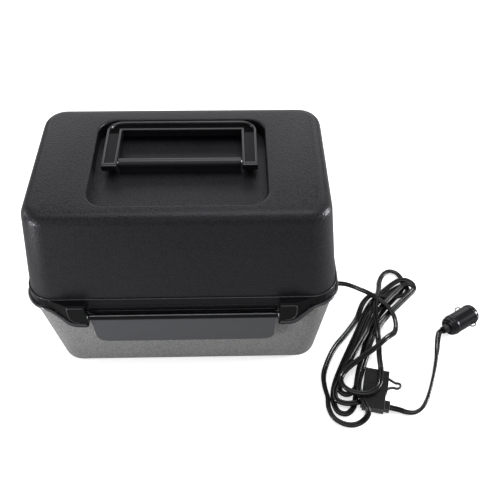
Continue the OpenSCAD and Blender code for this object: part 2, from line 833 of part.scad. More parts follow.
module lid_block() {
    hull() {
        slab(lid_half, corner_radius, lid_bottom);
        rounded_end(lid_top_half, end_corner_radius, top_edge_radius, case_height - top_edge_radius);
    }
}

module lid_hollow() {
    hull() {
        slab(lid_half - [wall, wall], corner_radius - wall, lid_bottom - 1);
        rounded_end(lid_top_half - [wall, wall], end_corner_radius - wall, top_edge_radius - wall / 2,
            case_height - wall / 2 - top_edge_radius);
    }
}

function lid_half_at(level) =
    let (share = (level - lid_bottom) / lid_height)
    [lid_half[0] + (lid_top_half[0] - lid_half[0]) * share,
        lid_half[1] + (lid_top_half[1] - lid_half[1]) * share];

// Part of the band round the lid's lower edge
module lip(proud, height) {
    top_half = lid_half_at(lid_bottom + height);
    hull() {
        slab(lid_half + [proud, proud], corner_radius + proud, lid_bottom);
        slab(top_half + [proud, proud], corner_radius + proud - 0.4, lid_bottom + height - thin);
    }
}

// Front view of one ear: it sweeps down from the band and ends beside the latch
module ear_front_outline() {
    top = lid_bottom + lip_height - ear_foot;
    polygon([[0, 0], [9, 1], [15, 4.5], [19.5, 9], [23.5, 14], [ear_width - 1, 18], [ear_width + 2, top - 8],
        [ear_width + 2, top], [0, top]]);
}

// Plan of one ear: its face runs back into the band on the outer side
module ear_plan_outline(back) {
    polygon([[0, -back], [0, -ear_face], [ear_pad_size[0] + 0.5, -ear_face],
        [ear_width + 2, -ear_back], [ear_width + 2, -back]]);
}

// Field that stands proud on the face of an ear, with a round lower outer corner
module ear_pad_outline() {
    square([ear_pad_size[0] - ear_pad_corner, ear_pad_size[1]]);
    translate([0, ear_pad_corner])
        square([ear_pad_size[0], ear_pad_size[1] - ear_pad_corner]);
    translate([ear_pad_size[0] - ear_pad_corner, ear_pad_corner])
        intersection() {
            circle(r = ear_pad_corner);
            translate([0, -ear_pad_corner])
                square(ear_pad_corner);
        }
}

module ear() {
    intersection() {
        rotate([90, 0, 0])
            linear_extrude(height = ear_face + 1)
                ear_front_outline();
        union() {
            linear_extrude(height = lid_bottom - ear_foot + 1)
                ear_plan_outline(ear_back);
            translate([0, 0, lid_bottom - ear_foot])
                linear_extrude(height = lip_height + 1)
                    ear_plan_outline(rim_half[1] - 1);
        }
    }
    translate([0, -ear_face + 1, lid_bottom + lip_height - ear_foot - 1.5 - ear_pad_size[1]])
        rotate([90, 0, 0])
            linear_extrude(height = ear_pad + 1)
                ear_pad_outline();
}

module lid_shell() {
    web = [[-knuckle_radius, -0.1], [knuckle_radius * 0.6, knuckle_radius * 0.8],
        [-hinge_back - wall / 2 - 1, knuckle_radius * 2.4], [-hinge_back - wall / 2, seam_gap / 2]];
    tub = [recess_width + 2 * wall, recess_length + 2 * wall];
    color(case_colour)
        difference() {
            union() {
                difference() {
                    union() {
                        lid_block();
                        lip(lip_proud, lip_bead_height);
                        lip(lip_upper_proud, lip_height);
                    }
                    lid_hollow();
                }
                intersection() {
                    union() {
                        translate([0, recess_y, recess_floor - wall])
                            linear_extrude(height = recess_depth + wall - 1)
                                rounded_outline(tub, recess_corner + wall);
                        for (spot = lid_posts)
                            translate([spot[0], spot[1], lid_flange + sheet])
                                cylinder(r = post_radius, h = case_height - lid_flange - sheet - 1);
                    }
                    lid_block();
                }
                for (side = [0, 1])
                    mirror([side, 0, 0])
                        translate([ear_inside, 0, ear_foot])
                            ear();
                for (side = [-1, 1])
                    translate([side * hinge_offset, hinge[1], hinge[2]])
                        knuckle(lid_knuckle, web);
            }
            translate([0, recess_y, recess_floor])
                linear_extrude(height = recess_depth + 1)
                    rounded_outline([recess_width, recess_length], recess_corner);
            for (spot = lid_posts)
                translate([spot[0], spot[1], lid_flange])
                    cylinder(r = post_bore, h = screw_length);
            for (x = [-1, 1])
                translate([x * bar_screw_offset, pivot[1], recess_floor - wall - 1])
                    cylinder(r = screw_radius + 0.3, h = wall + 2);
            translate([0, latch_pivot[1], latch_pivot[2]])
                rod(latch_pin / 2 + pin_clearance, 2 * (ear_inside + pin_grip));
            translate([0, hinge[1], hinge[2]])
                rod(hinge_pin / 2 + pin_clearance, 2 * hinge_offset + hinge_span);
        }
}

module lid_insulation() {
    half = lid_top_half - [wall + loose, wall + loose];
    top = recess_floor - wall - loose;
    color([0.86, 0.8, 0.55])
        difference() {
            translate([0, 0, lid_flange + sheet + 3])
                linear_extrude(height = top - lid_flange - sheet - 3)
                    rounded_outline(2 * half, end_corner_radius - wall - loose);
            translate([0, 0, lid_flange])
                linear_extrude(height = hood_height + sheet)
                    rounded_outline(2 * pan_half + 2 * [wool_gap, wool_gap], cavity_corner + sheet);
            for (spot = lid_posts)
                translate([spot[0], spot[1], lid_flange])
                    cylinder(r = post_radius + wool_gap, h = case_height);
            for (x = [-1, 1])
                translate([x * bar_screw_offset, pivot[1], hood_top])
                    cylinder(r = screw_head + 1, h = case_height - hood_top);
        }
}

module lid_liner() {
    half = lid_half_at(lid_flange + sheet) - [wall + flange_fit, wall + flange_fit];
    color(alloy_colour)
        translate([0, 0, lid_flange])
            mirror([0, 0, 1])
                lining(hood_height, half, corner_radius - wall - flange_fit, lid_posts);
}

module lid_seal() {
    outer = [cavity_width, cavity_depth] + 2 * [seal_width, seal_width];
    color([0.55, 0.56, 0.58])
        translate([0, 0, seam_height + seal_gap])
            difference() {
                linear_extrude(height = seal_thickness)
                    rounded_outline(outer, cavity_corner + seal_width);
                translate([0, 0, -1])
                    linear_extrude(height = seal_thickness + 2)
                        rounded_outline([cavity_width, cavity_depth] + [0.4, 0.4], cavity_corner);
            }
}

module lid_liner_screws() {
    color(steel_colour)
        pan_head_screws(lid_posts, lid_flange, false);
}

// Raised bar between the handle's legs; its ends hold the handle's pins
module handle_pivot_bar() {
    color(gloss_colour)
        difference() {
            translate([0, pivot[1], 0])
                rotate([90, 0, 90])
                    linear_extrude(height = pivot_bar_length, center = true) {
                        translate([0, pivot[2]])
                            circle(r = pivot_bar_radius);
                        translate([-bar_web / 2, recess_floor])
                            square([bar_web, pivot[2] - recess_floor]);
                    }
            for (side = [-1, 1])
                translate([side * pivot_bar_length / 2, pivot[1], pivot[2]])
                    rod(handle_pin / 2 + pin_clearance, 2 * pin_in_bar);
            for (x = [-1, 1])
                translate([x * bar_screw_offset, pivot[1], recess_floor - 1])
                    cylinder(r = post_bore, h = 9);
        }
}

module handle_bar_screws() {
    head_level = recess_floor - wall;
    color(steel_colour)
        for (x = [-1, 1])
            translate([x * bar_screw_offset, pivot[1], head_level]) {
                translate([0, 0, -screw_head_height])
                    cylinder(r = screw_head, h = screw_head_height);
                translate([0, 0, -1])
                    cylinder(r = screw_radius, h = wall + 8);
            }
}

module handle_pins() {
    color(steel_colour)
        for (side = [-1, 1])
            translate([side * (leg_inside + (pin_in_leg - pin_in_bar) / 2 - 0.3), pivot[1], pivot[2]])
                rod(handle_pin / 2, pin_in_bar + pin_in_leg - 1);
}

module latch_pin_rod() {
    color(steel_colour)
        translate([0, latch_pivot[1], latch_pivot[2]])
            rod(latch_pin / 2, 2 * (ear_inside + pin_grip) - 1);
}

// ---- Handle ----

// Plan of the handle, set in from its edges by inset; the pivot is at the origin
module bail_outline(inset) {
    width = handle_width - 2 * inset;
    corner = handle_corner - inset;
    inside = 2 * (leg_inside + inset);
    difference() {
        union() {
            translate([-width / 2, -heel_reach + inset])
                square([width, heel_reach + handle_reach - handle_corner - inset]);
            translate([-width / 2 + corner, 0])
                square([width - 2 * corner, handle_reach - inset]);
            for (x = [-1, 1])
                translate([x * (width / 2 - corner), handle_reach - inset - corner])
                    circle(r = corner);
        }
        translate([-inside / 2, -heel_reach - 1])
            square([inside, heel_reach + 1 + handle_reach - grip_width - inset]);
    }
}

module handle() {
    half = handle_thickness / 2;
    color(gloss_colour)
        translate(pivot)
            difference() {
                translate([0, 0, -half])
                    linear_extrude(height = handle_thickness)
                        bail_outline(0);
                for (face = [-1, 1])
                    translate([0, 0, face * half])
                        linear_extrude(height = 2 * channel_depth, center = true)
                            difference() {
                                bail_outline(channel_rim);
                                translate([-handle_width, -heel_reach - 1])
                                    square([2 * handle_width, heel_reach + 1 + half]);
                            }
                // Heels are thinner than the legs, and round where they leave them
                translate([-handle_width, -heel_reach - 1, -half - 1])
                    cube([2 * handle_width, heel_reach + 1, handle_thickness - heel_thickness + 1]);
                for (side = [-1, 1])
                    translate([side * (leg_inside - 1 + pin_in_leg / 2), 0, 0])
                        rod(handle_pin / 2 + pin_clearance, pin_in_leg + 2);
            }
}

// ---- Latch ----

// Front view of the latch's panel, hanging down from the origin, set in by inset
module panel_outline(inset) {
    top = latch_width / 2 - 1 - inset;
    bottom = top - latch_taper;
    corner = latch_corner - inset;
    height = latch_height - inset;
    polygon([[-top, 0], [top, 0], [bottom, -height + corner], [bottom - corner, -height],
        [-bottom + corner, -height], [-bottom, -height + corner]]);
    for (x = [-1, 1])
        translate([x * (bottom - corner), -height + corner])
            circle(r = corner);
}

// The latch is drawn about its pivot, with its face towards -Y
module latch() {
    hook_top = latch_drop - rail_drop - rail_height - hook_gap;
    rail_front = base_half_at(seam_height - rail_drop)[1] + rail_proud;
    hook_tip = -latch_pivot[1] - rail_front + hook_engagement;
    hook_root = latch_sheet / 2 - latch_front + base_slope * (hook_height / 2 - hook_top - latch_top);
    color(case_colour)
        translate(latch_pivot)
            difference() {
                union() {
                    rod(latch_roll, latch_width);
                    // Web between the rolled edge and the panel
                    translate([-latch_width / 2 + 1, -latch_front + 0.6, -latch_top - 1])
                        cube([latch_width - 2, latch_sheet, latch_top + 1]);
                    rotate([base_tilt, 0, 0])
                        translate([0, -latch_front, -latch_top])
                            rotate([90, 0, 0])
                                mirror([0, 0, 1]) {
                                    linear_extrude(height = latch_sheet)
                                        panel_outline(0);
                                    linear_extrude(height = latch_depth)
                                        difference() {
                                            panel_outline(0);
                                            panel_outline(latch_flange);
                                            translate([-latch_width, -2])
                                                square([2 * latch_width, 3]);
                                        }
                                }
                    translate([-hook_length / 2, hook_root, hook_top - hook_height])
                        cube([hook_length, hook_tip - hook_root, hook_height]);
                }
                rod(latch_pin / 2 + pin_clearance, latch_width + 2);
            }
}

// ---- Lead, fuse holder and plug ----

module cord_lead() {
    color(gloss_colour)
        swept(lead_route, lead_width / 2, lead_thickness / 2);
}

module cord_tail() {
    color(gloss_colour)
        swept(tail_route, lead_width / 2, lead_thickness / 2);
}

module cord_hank() {
    color(gloss_colour)
        linear_extrude(height = hank_height) {
            for (run = hank_runs)
                run_outline(run[0], run[1], run[2]);
            for (i = [0 : len(hank_strand) - 2])
                run_outline(hank_strand[i], hank_strand[i + 1], strand_radius);
            translate(entry_run[1])
                circle(r = entry_radius);
            translate(entry_run[0])
                rotate(atan2(entry_ahead[1], entry_ahead[0]))
                    translate([0, tangent_gap - entry_radius])
                        square([norm(entry_run[1] - entry_run[0]), 2 * (entry_radius - tangent_gap)]);
        }
}

// Children in the fuse holder's own directions: X across it, Y towards its cap
module at_fuse() {
    translate([fuse_spot[0], fuse_spot[1], 0])
        rotate(fuse_turn)
            children();
}

module fuse_holder_body() {
    side = fuse_width / 2;
    root = cap_start - neck_length;
    color(gloss_colour)
        at_fuse()
            difference() {
                union() {
                    translate([0, 0, cap_rise])
                        linear_extrude(height = fuse_height)
                            polygon([[-side, -fuse_length / 2], [side, -fuse_length / 2], [side, root - 3],
                                [side + cap_proud, root], [-side - cap_proud, root], [-side, root - 3]]);
                    translate([-side - cap_proud, root, 0])
                        cube([fuse_width + 2 * cap_proud, neck_length - cap_gap, cap_height]);
                    translate([-tongue_half, root, cap_rise + tongue_sink])
                        cube([2 * tongue_half, neck_length + cap_length - fuse_shell, fuse_height - 2 * tongue_sink]);
                    translate([-side - hank_nub, nub_spot - nub_size[0] / 2, nub_level - nub_size[1] / 2])
                        cube([fuse_width + hank_nub + tail_nub, nub_size[0], nub_size[1]]);
                }
                translate([-fuse_blade / 2 - 1, contact_start, cap_height / 2 - 1.4])
                    cube([fuse_blade + 2, fuse_length, 2.8]);
            }
}

module fuse_holder_cap() {
    outer = fuse_width + 2 * cap_proud;
    slack = 0.2;
    color(gloss_colour)
        at_fuse()
            difference() {
                translate([-outer / 2, cap_start, 0])
                    cube([outer, cap_length, cap_height]);
                translate([-tongue_half - slack, cap_start - 1, cap_rise + tongue_sink - slack])
                    cube([2 * (tongue_half + slack), cap_length + 1 - fuse_shell, fuse_height - 2 * (tongue_sink - slack)]);
            }
}

// Strap that keeps the cap on the holder
module fuse_cap_tether() {
    reach = 5.8;
    bend = 4.8;
    strap = 1.3;
    color(gloss_colour)
        at_fuse()
            translate([fuse_width / 2 + cap_proud, cap_start + bend - neck_length / 2, 6.4])
                linear_extrude(height = 2.4)
                    difference() {
                        union() {
                            translate([0, -bend])
                                square([reach, 2 * bend]);
                            translate([reach, 0])
                                circle(r = bend);
                        }
                        translate([-1, strap - bend])
                            square([reach + 1, 2 * (bend - strap)]);
                        translate([reach, 0])
                            circle(r = bend - strap);
                    }
}

module blade_fuse() {
    color([0.85, 0.35, 0.1])
        at_fuse()
            translate([-fuse_blade / 2, blade_start, cap_height / 2 - 1.3])
                cube([fuse_blade, 8, 2.6]);
}

// Two contacts that the fuse's blades stand in
module fuse_contacts() {
    color([0.8, 0.68, 0.35])
        at_fuse()
            for (x = [-1, 1])
                translate([x * fuse_blade / 3 - 1.6, contact_start, cap_height / 2 - 1])
                    cube([3.2, blade_start - contact_start, 2]);
}

// Children along the plug's axis: Z runs from its rear face to its tip
module at_plug() {
    translate(plug_rear)
        rotate([0, 0, plug_turn])
            rotate([0, 90, 0])
                children();
}

module plug_body() {
    color(gloss_colour)
        at_plug()
            difference() {
                union() {
                    translate([0, 0, collar_length])
                        cylinder(r = plug_radius, h = ring_start - collar_length);
                    translate([0, 0, 3])
                        cylinder(r = 7, h = plug_length - 6);
                }
                translate([0, 0, plug_length - tip_back])
                    cylinder(r = tip_diameter / 2 + 0.1, h = tip_back);
                for (side = [0, 1])
                    mirror([0, side, 0])
                        translate([-1.2, contact_root, contact_spot - contact_radius - contact_wire - 0.3])
                            cube([2.4, plug_radius, 2 * (contact_radius + contact_wire + 0.3)]);
            }
}

module plug_collar() {
    color(gloss_colour)
        at_plug()
            rotate_extrude()
                polygon([[4, 0], [7.6, 0], [9.6, 2], [collar_radius, 5], [collar_radius, collar_length],
                    [7.05, collar_length], [7.05, 2.9], [4, 2.9]]);
}

// Front ring with a notched edge
module plug_ring() {
    notch_count = 20;
    color(gloss_colour)
        at_plug()
            difference() {
                rotate_extrude()
                    polygon([[7.05, ring_start], [collar_radius, ring_start], [collar_radius, ring_start + 2],
                        [9.2, plug_length - 1], [7.6, plug_length], [tip_diameter / 2 + 0.2, plug_length],
                        [tip_diameter / 2 + 0.2, plug_length - 2.9], [7.05, plug_length - 2.9]]);
                for (i = [0 : notch_count - 1])
                    rotate(i * 360 / notch_count)
                        translate([collar_radius + 0.5, 0, ring_start + 4])
                            cube([2.4, 1.2, 6], center = true);
            }
}

// Bent wire springs that touch the socket's wall, one on each side
module plug_side_contacts() {
    color(steel_colour)
        at_plug()
            for (side = [0, 1])
                mirror([0, side, 0])
                    intersection() {
                        translate([0, plug_radius - 2, contact_spot])
                            rotate([0, 90, 0])
                                difference() {
                                    cylinder(r = contact_radius + contact_wire, h = 2 * contact_wire, center = true);
                                    cylinder(r = contact_radius - contact_wire, h = 4 * contact_wire, center = true);
                                }
                        translate([-5, contact_root, contact_spot - 6])
                            cube([10, 10, 12]);
                    }
}

module plug_strain_relief() {
    color(gloss_colour)
        at_plug()
            translate([0, 0, -relief_back])
                rotate_extrude()
                    polygon([[0, 0], [3.9, 0], [4.6, relief_back - 1], [4.6, relief_back - 0.05],
                        [3.9, relief_back - 0.05], [3.9, relief_back + 2.95], [0, relief_back + 2.95]]);
}

// Sprung centre contact
module plug_tip() {
    color(steel_colour)
        at_plug()
            translate([0, 0, plug_length - tip_back + tip_travel + 0.6])
                rotate_extrude()
                    polygon([[0, 0], [tip_diameter / 2, 0], [tip_diameter / 2, tip_back + tip_length - tip_travel - 2.6],
                        [tip_shank, tip_back + tip_length - tip_travel - 0.6], [0, tip_back + tip_length - tip_travel - 0.6]]);
}

base_shell();
base_insulation();
base_liner();
heater_cover();
heater_ribbon();
heater_board();
heater_clamp();
heater_nuts();
heater_terminals();
thermostat();
thermal_fuse();
terminal_block();
inner_leads();
base_liner_screws();
rubber_feet();
hinge_pins();
cord_gland();
lid_shell();
lid_insulation();
lid_liner();
lid_seal();
lid_liner_screws();
handle_pivot_bar();
handle_bar_screws();
handle_pins();
latch_pin_rod();
handle();
latch();
cord_lead();
cord_hank();
cord_tail();
fuse_holder_body();
fuse_holder_cap();
fuse_cap_tether();
blade_fuse();
fuse_contacts();
plug_body();
plug_collar();
plug_ring();
plug_side_contacts();
plug_strain_relief();
plug_tip();
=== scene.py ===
"""Looks of a heated lunch box with a drafted lid, a folding handle, a latch and a 12 volt lead."""

import json
import logging
import math
from contextlib import contextmanager
from dataclasses import dataclass, field
from enum import Enum
from typing import Callable, Iterator, Sequence

import bmesh
import bpy
from mathutils import Matrix, Vector


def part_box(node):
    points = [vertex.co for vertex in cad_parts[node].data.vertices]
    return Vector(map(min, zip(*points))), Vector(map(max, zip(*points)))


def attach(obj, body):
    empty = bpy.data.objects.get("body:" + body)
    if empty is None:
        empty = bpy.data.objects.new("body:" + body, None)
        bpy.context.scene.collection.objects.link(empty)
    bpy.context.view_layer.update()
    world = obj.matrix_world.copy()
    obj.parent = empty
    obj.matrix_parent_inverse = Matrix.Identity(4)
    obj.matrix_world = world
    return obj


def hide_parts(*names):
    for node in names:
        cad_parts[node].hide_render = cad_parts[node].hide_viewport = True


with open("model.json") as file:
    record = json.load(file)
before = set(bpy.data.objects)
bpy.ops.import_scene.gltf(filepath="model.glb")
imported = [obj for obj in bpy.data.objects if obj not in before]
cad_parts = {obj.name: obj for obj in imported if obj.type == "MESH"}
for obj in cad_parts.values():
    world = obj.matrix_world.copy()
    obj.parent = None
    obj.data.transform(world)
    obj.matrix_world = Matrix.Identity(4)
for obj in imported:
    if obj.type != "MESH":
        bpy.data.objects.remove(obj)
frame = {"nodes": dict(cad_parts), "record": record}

LOG = logging.getLogger("lunch_box")
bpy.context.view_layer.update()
MM = 0.001

# A point this close to a level counts as lying on it.
NEAR = 0.1 * MM
# Points this close are one point.
WELD = 0.02 * MM
# Up to these angles between two faces, in degrees, a bent, a moulded, a shaped and a plain piece look smooth.
SOFT = 50.0
MOULDED = 40.0
CREASE = 35.0
PLAIN = 32.0
# Up to the first of these angles two faces are one, and above the second their edge is nearly square.
FLAT = 0.3
SQUARE = 60.0
# A face looks along an axis when its normal has more than this share along it.
FACING = 0.9

Piece = bpy.types.Object
Point = tuple[float, float, float]
Colour = tuple[float, float, float]
Outline = tuple[tuple[float, float], ...]
FaceTest = Callable[[Vector, Vector], bool]
EdgeTest = Callable[[Vector, Vector, float], bool]


def metres(points: Sequence[tuple[float, ...]]) -> list[tuple[float, ...]]:
    """Turn points in millimetres into metres."""
    return [tuple(value * MM for value in point) for point in points]


class Body(Enum):
    """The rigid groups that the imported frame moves."""

    BASE = "base"
    LID = "lid"
    HANDLE = "handle"
    LATCH = "latch"
    PLUG_TIP = "plug_tip"


class Grain(Enum):
    """Surface textures that a material can have."""

    LEATHER = "leather"
    SATIN = "satin"
    FIBRE = "fibre"


# ---------------------------------------------------------------- shader maths


class Signal:
    """A node output that can stand in a Python expression."""

    def __init__(self, graph: "Graph", socket: bpy.types.NodeSocket) -> None:
        """Wrap an output socket of a graph."""
        self.graph = graph
        self.socket = socket

    def _join(self, kind: str, first: "Signal | float", second: "Signal | float") -> "Signal":
        """Add a Math node.

        Args:
            kind: Operation of the Math node.
            first: Left operand.
            second: Right operand.

        Returns:
            The result as a signal.
        """
        return self.graph.add("ShaderNodeMath", {"operation": kind}, {0: first, 1: second})

    def __add__(self, other: "Signal | float") -> "Signal":
        """Sum of two values."""
        return self._join("ADD", self, other)

    __radd__ = __add__

    def __sub__(self, other: "Signal | float") -> "Signal":
        """Difference of two values."""
        return self._join("SUBTRACT", self, other)

    def __rsub__(self, other: "Signal | float") -> "Signal":
        """Difference with the signal on the right."""
        return self._join("SUBTRACT", other, self)

    def __mul__(self, other: "Signal | float") -> "Signal":
        """Product of two values."""
        return self._join("MULTIPLY", self, other)

    __rmul__ = __mul__

    def over(self, other: "Signal | float") -> "Signal":
        """Larger of two values."""
        return self._join("MAXIMUM", self, other)


class Graph:
    """The node tree of a material or of the world, built one node at a time."""

    def __init__(self, owner: bpy.types.Material | bpy.types.World) -> None:
        """Empty the node tree of its owner."""
        owner.use_nodes = True
        self.owner = owner
        self.tree = owner.node_tree
        self.tree.nodes.clear()

    def principled(self, settings: dict[str, object]) -> None:
        """End a material with a Principled shader.

        Args:
            settings: Values or signals for the shader's inputs.
        """
        shader = self.add("ShaderNodeBsdfPrincipled", {}, settings)
        self.surface("ShaderNodeOutputMaterial", shader)

    def surface(self, kind: str, shader: Signal) -> None:
        """Link a shader to a new output node of the given kind."""
        self.feed(self.tree.nodes.new(kind).inputs["Surface"], shader)

    @staticmethod
    def _socket(node: bpy.types.Node, key: int | str) -> bpy.types.NodeSocket:
        """Find an input of a node.

        Args:
            node: The node to look in.
            key: Index, identifier or name of the input.

        Returns:
            The input socket.
        """
        if isinstance(key, int):
            return node.inputs[key]
        for socket in node.inputs:
            if socket.identifier == key:
                return socket
        return node.inputs[key]

    def feed(self, socket: bpy.types.NodeSocket, value: object) -> None:
        """Link a signal to an input, or set its value.

        Args:
            socket: The input to feed.
            value: A signal, a number or a tuple.
        """
        if isinstance(value, Signal):
            self.tree.links.new(value.socket, socket)
        elif isinstance(value, tuple) and socket.type == "RGBA" and len(value) == 3:
            socket.default_value = (*value, 1.0)
        else:
            socket.default_value = value

    def add(
        self,
        kind: str,
        settings: dict[str, object] | None = None,
        inputs: dict[int | str, object] | None = None,
        output: int | str = 0,
    ) -> Signal:
        """Add one node.

        Args:
            kind: Type of the node.
            settings: Properties of the node, set before its inputs.
            inputs: Values or signals for its inputs.
            output: Index or identifier of the output to return.

        Returns:
            The chosen output as a signal.
        """
        node = self.tree.nodes.new(kind)
        for name, value in (settings or {}).items():
            setattr(node, name, value)
        for key, value in (inputs or {}).items():
            self.feed(self._socket(node, key), value)
        if isinstance(output, str):
            return Signal(self, next(s for s in node.outputs if s.identifier == output))
        return Signal(self, node.outputs[output])

    def place(self, scale: Point) -> Signal:
        """Give object coordinates, scaled along each axis."""
        where = self.add("ShaderNodeTexCoord", output="Object")
        return self.add("ShaderNodeMapping", {}, {"Vector": where, "Scale": scale})

    def noise(self, where: Signal, scale: float, detail: float, rough: float = 0.55) -> Signal:
        """Add smooth noise.

        Args:
            where: Coordinates.
            scale: Waves per metre.
            detail: Octaves.
            rough: Share of the fine octaves.

        Returns:
            Noise from 0 to 1.
        """
        return self.add(
            "ShaderNodeTexNoise", {}, {"Vector": where, "Scale": scale, "Detail": detail, "Roughness": rough}
        )

    def blend(self, share: Signal | float, low: object, high: object) -> Signal:
        """Mix two colours.

        Args:
            share: 0 gives the low colour and 1 the high one.
            low: First colour.
            high: Second colour.

        Returns:
            The mixed colour.
        """
        return self.add(
            "ShaderNodeMix",
            {"data_type": "RGBA", "clamp_factor": True},
            {"Factor_Float": share, "A_Color": low, "B_Color": high},
            "Result_Color",
        )

    def span(
        self, value: Signal, low: float, high: float, out_low: float = 0.0, out_high: float = 1.0
    ) -> Signal:
        """Map a range of a value to another range, clamped.

        Args:
            value: The value.
            low: Start of the range.
            high: End of the range.
            out_low: What the start becomes.
            out_high: What the end becomes.

        Returns:
            The mapped value.
        """
        return self.add(
            "ShaderNodeMapRange",
            {"clamp": True},
            {"Value": value, "From Min": low, "From Max": high, "To Min": out_low, "To Max": out_high},
        )

    def worn_edge(self, radius: float) -> tuple[Signal, Signal]:
        """Find the edges of a shape from its rounded normal.

        Args:
            radius: Radius of the rounding.

        Returns:
            The rounded normal, and a mask that is 1 on sharp edges.
        """
        rounded = self.add("ShaderNodeBevel", {"samples": 6}, {"Radius": radius})
        plain = self.add("ShaderNodeNewGeometry", output="Normal")
        cosine = self.add(
            "ShaderNodeVectorMath", {"operation": "DOT_PRODUCT"}, {0: rounded, 1: plain}, "Value"
        )
        return rounded, self.span(cosine, 0.995, 0.86)


@dataclass(frozen=True)
class Finish:
    """One material: its colour, gloss, grain and wear.

    Attributes:
        name: Name of the material.
        slot: Slot of the record that it belongs to.
        colour: Main colour.
        shade: Second colour, for the patches, and for painted shade in the hollows of the grain.
        rough: Roughness.
        spread: How much the roughness varies.
        grain: Kind of surface texture.
        size: Size of the grain in metres.
        depth: Depth of the grain in metres.
        metallic: 1 for metal.
        specular: Strength of the plain reflection.
        coat: Strength of a clear gloss on top.
        wear: How much lighter the edges are.
        edge: Radius to which edges look rounded.
        glint: Colour of the plain reflection.
        lengthwise: Scale of the grain along each axis; a small one stretches it.
    """

    name: str
    slot: str
    colour: Colour
    shade: Colour
    rough: float = 0.5
    spread: float = 0.08
    grain: Grain = Grain.SATIN
    size: float = 0.0012
    depth: float = 0.00005
    metallic: float = 0.0
    specular: float = 0.4
    coat: float = 0.0
    wear: float = 0.3
    edge: float = 0.0006
    glint: Colour = (1.0, 1.0, 1.0)
    lengthwise: Point = (1.0, 1.0, 1.0)

    def _relief(self, graph: Graph) -> tuple[Signal, Signal]:
        """Build the height and the patches of the surface.

        Args:
            graph: The material's graph.

        Returns:
            Height from 0 to 1, and slow patches from 0 to 1.
        """
        where = graph.place(self.lengthwise)
        patches = graph.noise(where, 14.0, 3.0)
        fine = graph.noise(where, 0.9 / self.size, 3.0, 0.6)
        if self.grain is Grain.LEATHER:
            push = graph.noise(where, 0.4 / self.size, 2.0)
            shifted = graph.add(
                "ShaderNodeVectorMath",
                {"operation": "MULTIPLY_ADD"},
                {
                    0: graph.add("ShaderNodeCombineXYZ", {}, {0: push, 1: push, 2: fine}),
                    1: (self.size,) * 3,
                    2: where,
                },
            )
            pebbles = graph.add(
                "ShaderNodeTexVoronoi",
                {"feature": "SMOOTH_F1"},
                {"Vector": shifted, "Scale": 1.0 / self.size, "Smoothness": 0.25},
            )
            return graph.span(pebbles, 0.05, 0.7, 1.0, 0.0) * 0.8 + fine * 0.2, patches
        if self.grain is Grain.FIBRE:
            strands = graph.add(
                "ShaderNodeTexWave",
                {"wave_type": "BANDS"},
                {"Vector": where, "Scale": 0.3 / self.size, "Distortion": 9.0, "Detail": 3.0},
            )
            return strands * 0.6 + fine * 0.4, patches
        return fine, patches

    def build(self) -> bpy.types.Material:
        """Make the material.

        Returns:
            The finished material.
        """
        graph = Graph(bpy.data.materials.new(self.name))
        height, patches = self._relief(graph)
        rounded, edge = graph.worn_edge(self.edge)
        # The hollows of the grain are blended towards the second colour as painted shade; the slow patches
        # are random tone.
        hollow_painted_shade = graph.span(height, 0.15, 0.7)
        tone = graph.blend(hollow_painted_shade * 0.65 + patches * 0.35, self.shade, self.colour)
        lighter = tuple(min(1.0, channel * 1.5 + 0.012) for channel in self.colour)
        rough = patches * self.spread + height * self.spread + (self.rough - self.spread)
        relief = {"Strength": 1.0, "Distance": self.depth, "Height": height, "Normal": rounded}
        graph.principled(
            {
                "Base Color": graph.blend(edge * self.wear, tone, lighter),
                "Roughness": rough - edge * (0.12 * self.wear),
                "Normal": graph.add("ShaderNodeBump", {}, relief),
                "Metallic": self.metallic,
                "Specular IOR Level": self.specular,
                "Specular Tint": self.glint,
                "Coat Weight": self.coat,
                "Coat Roughness": 0.12,
            }
        )
        return graph.owner


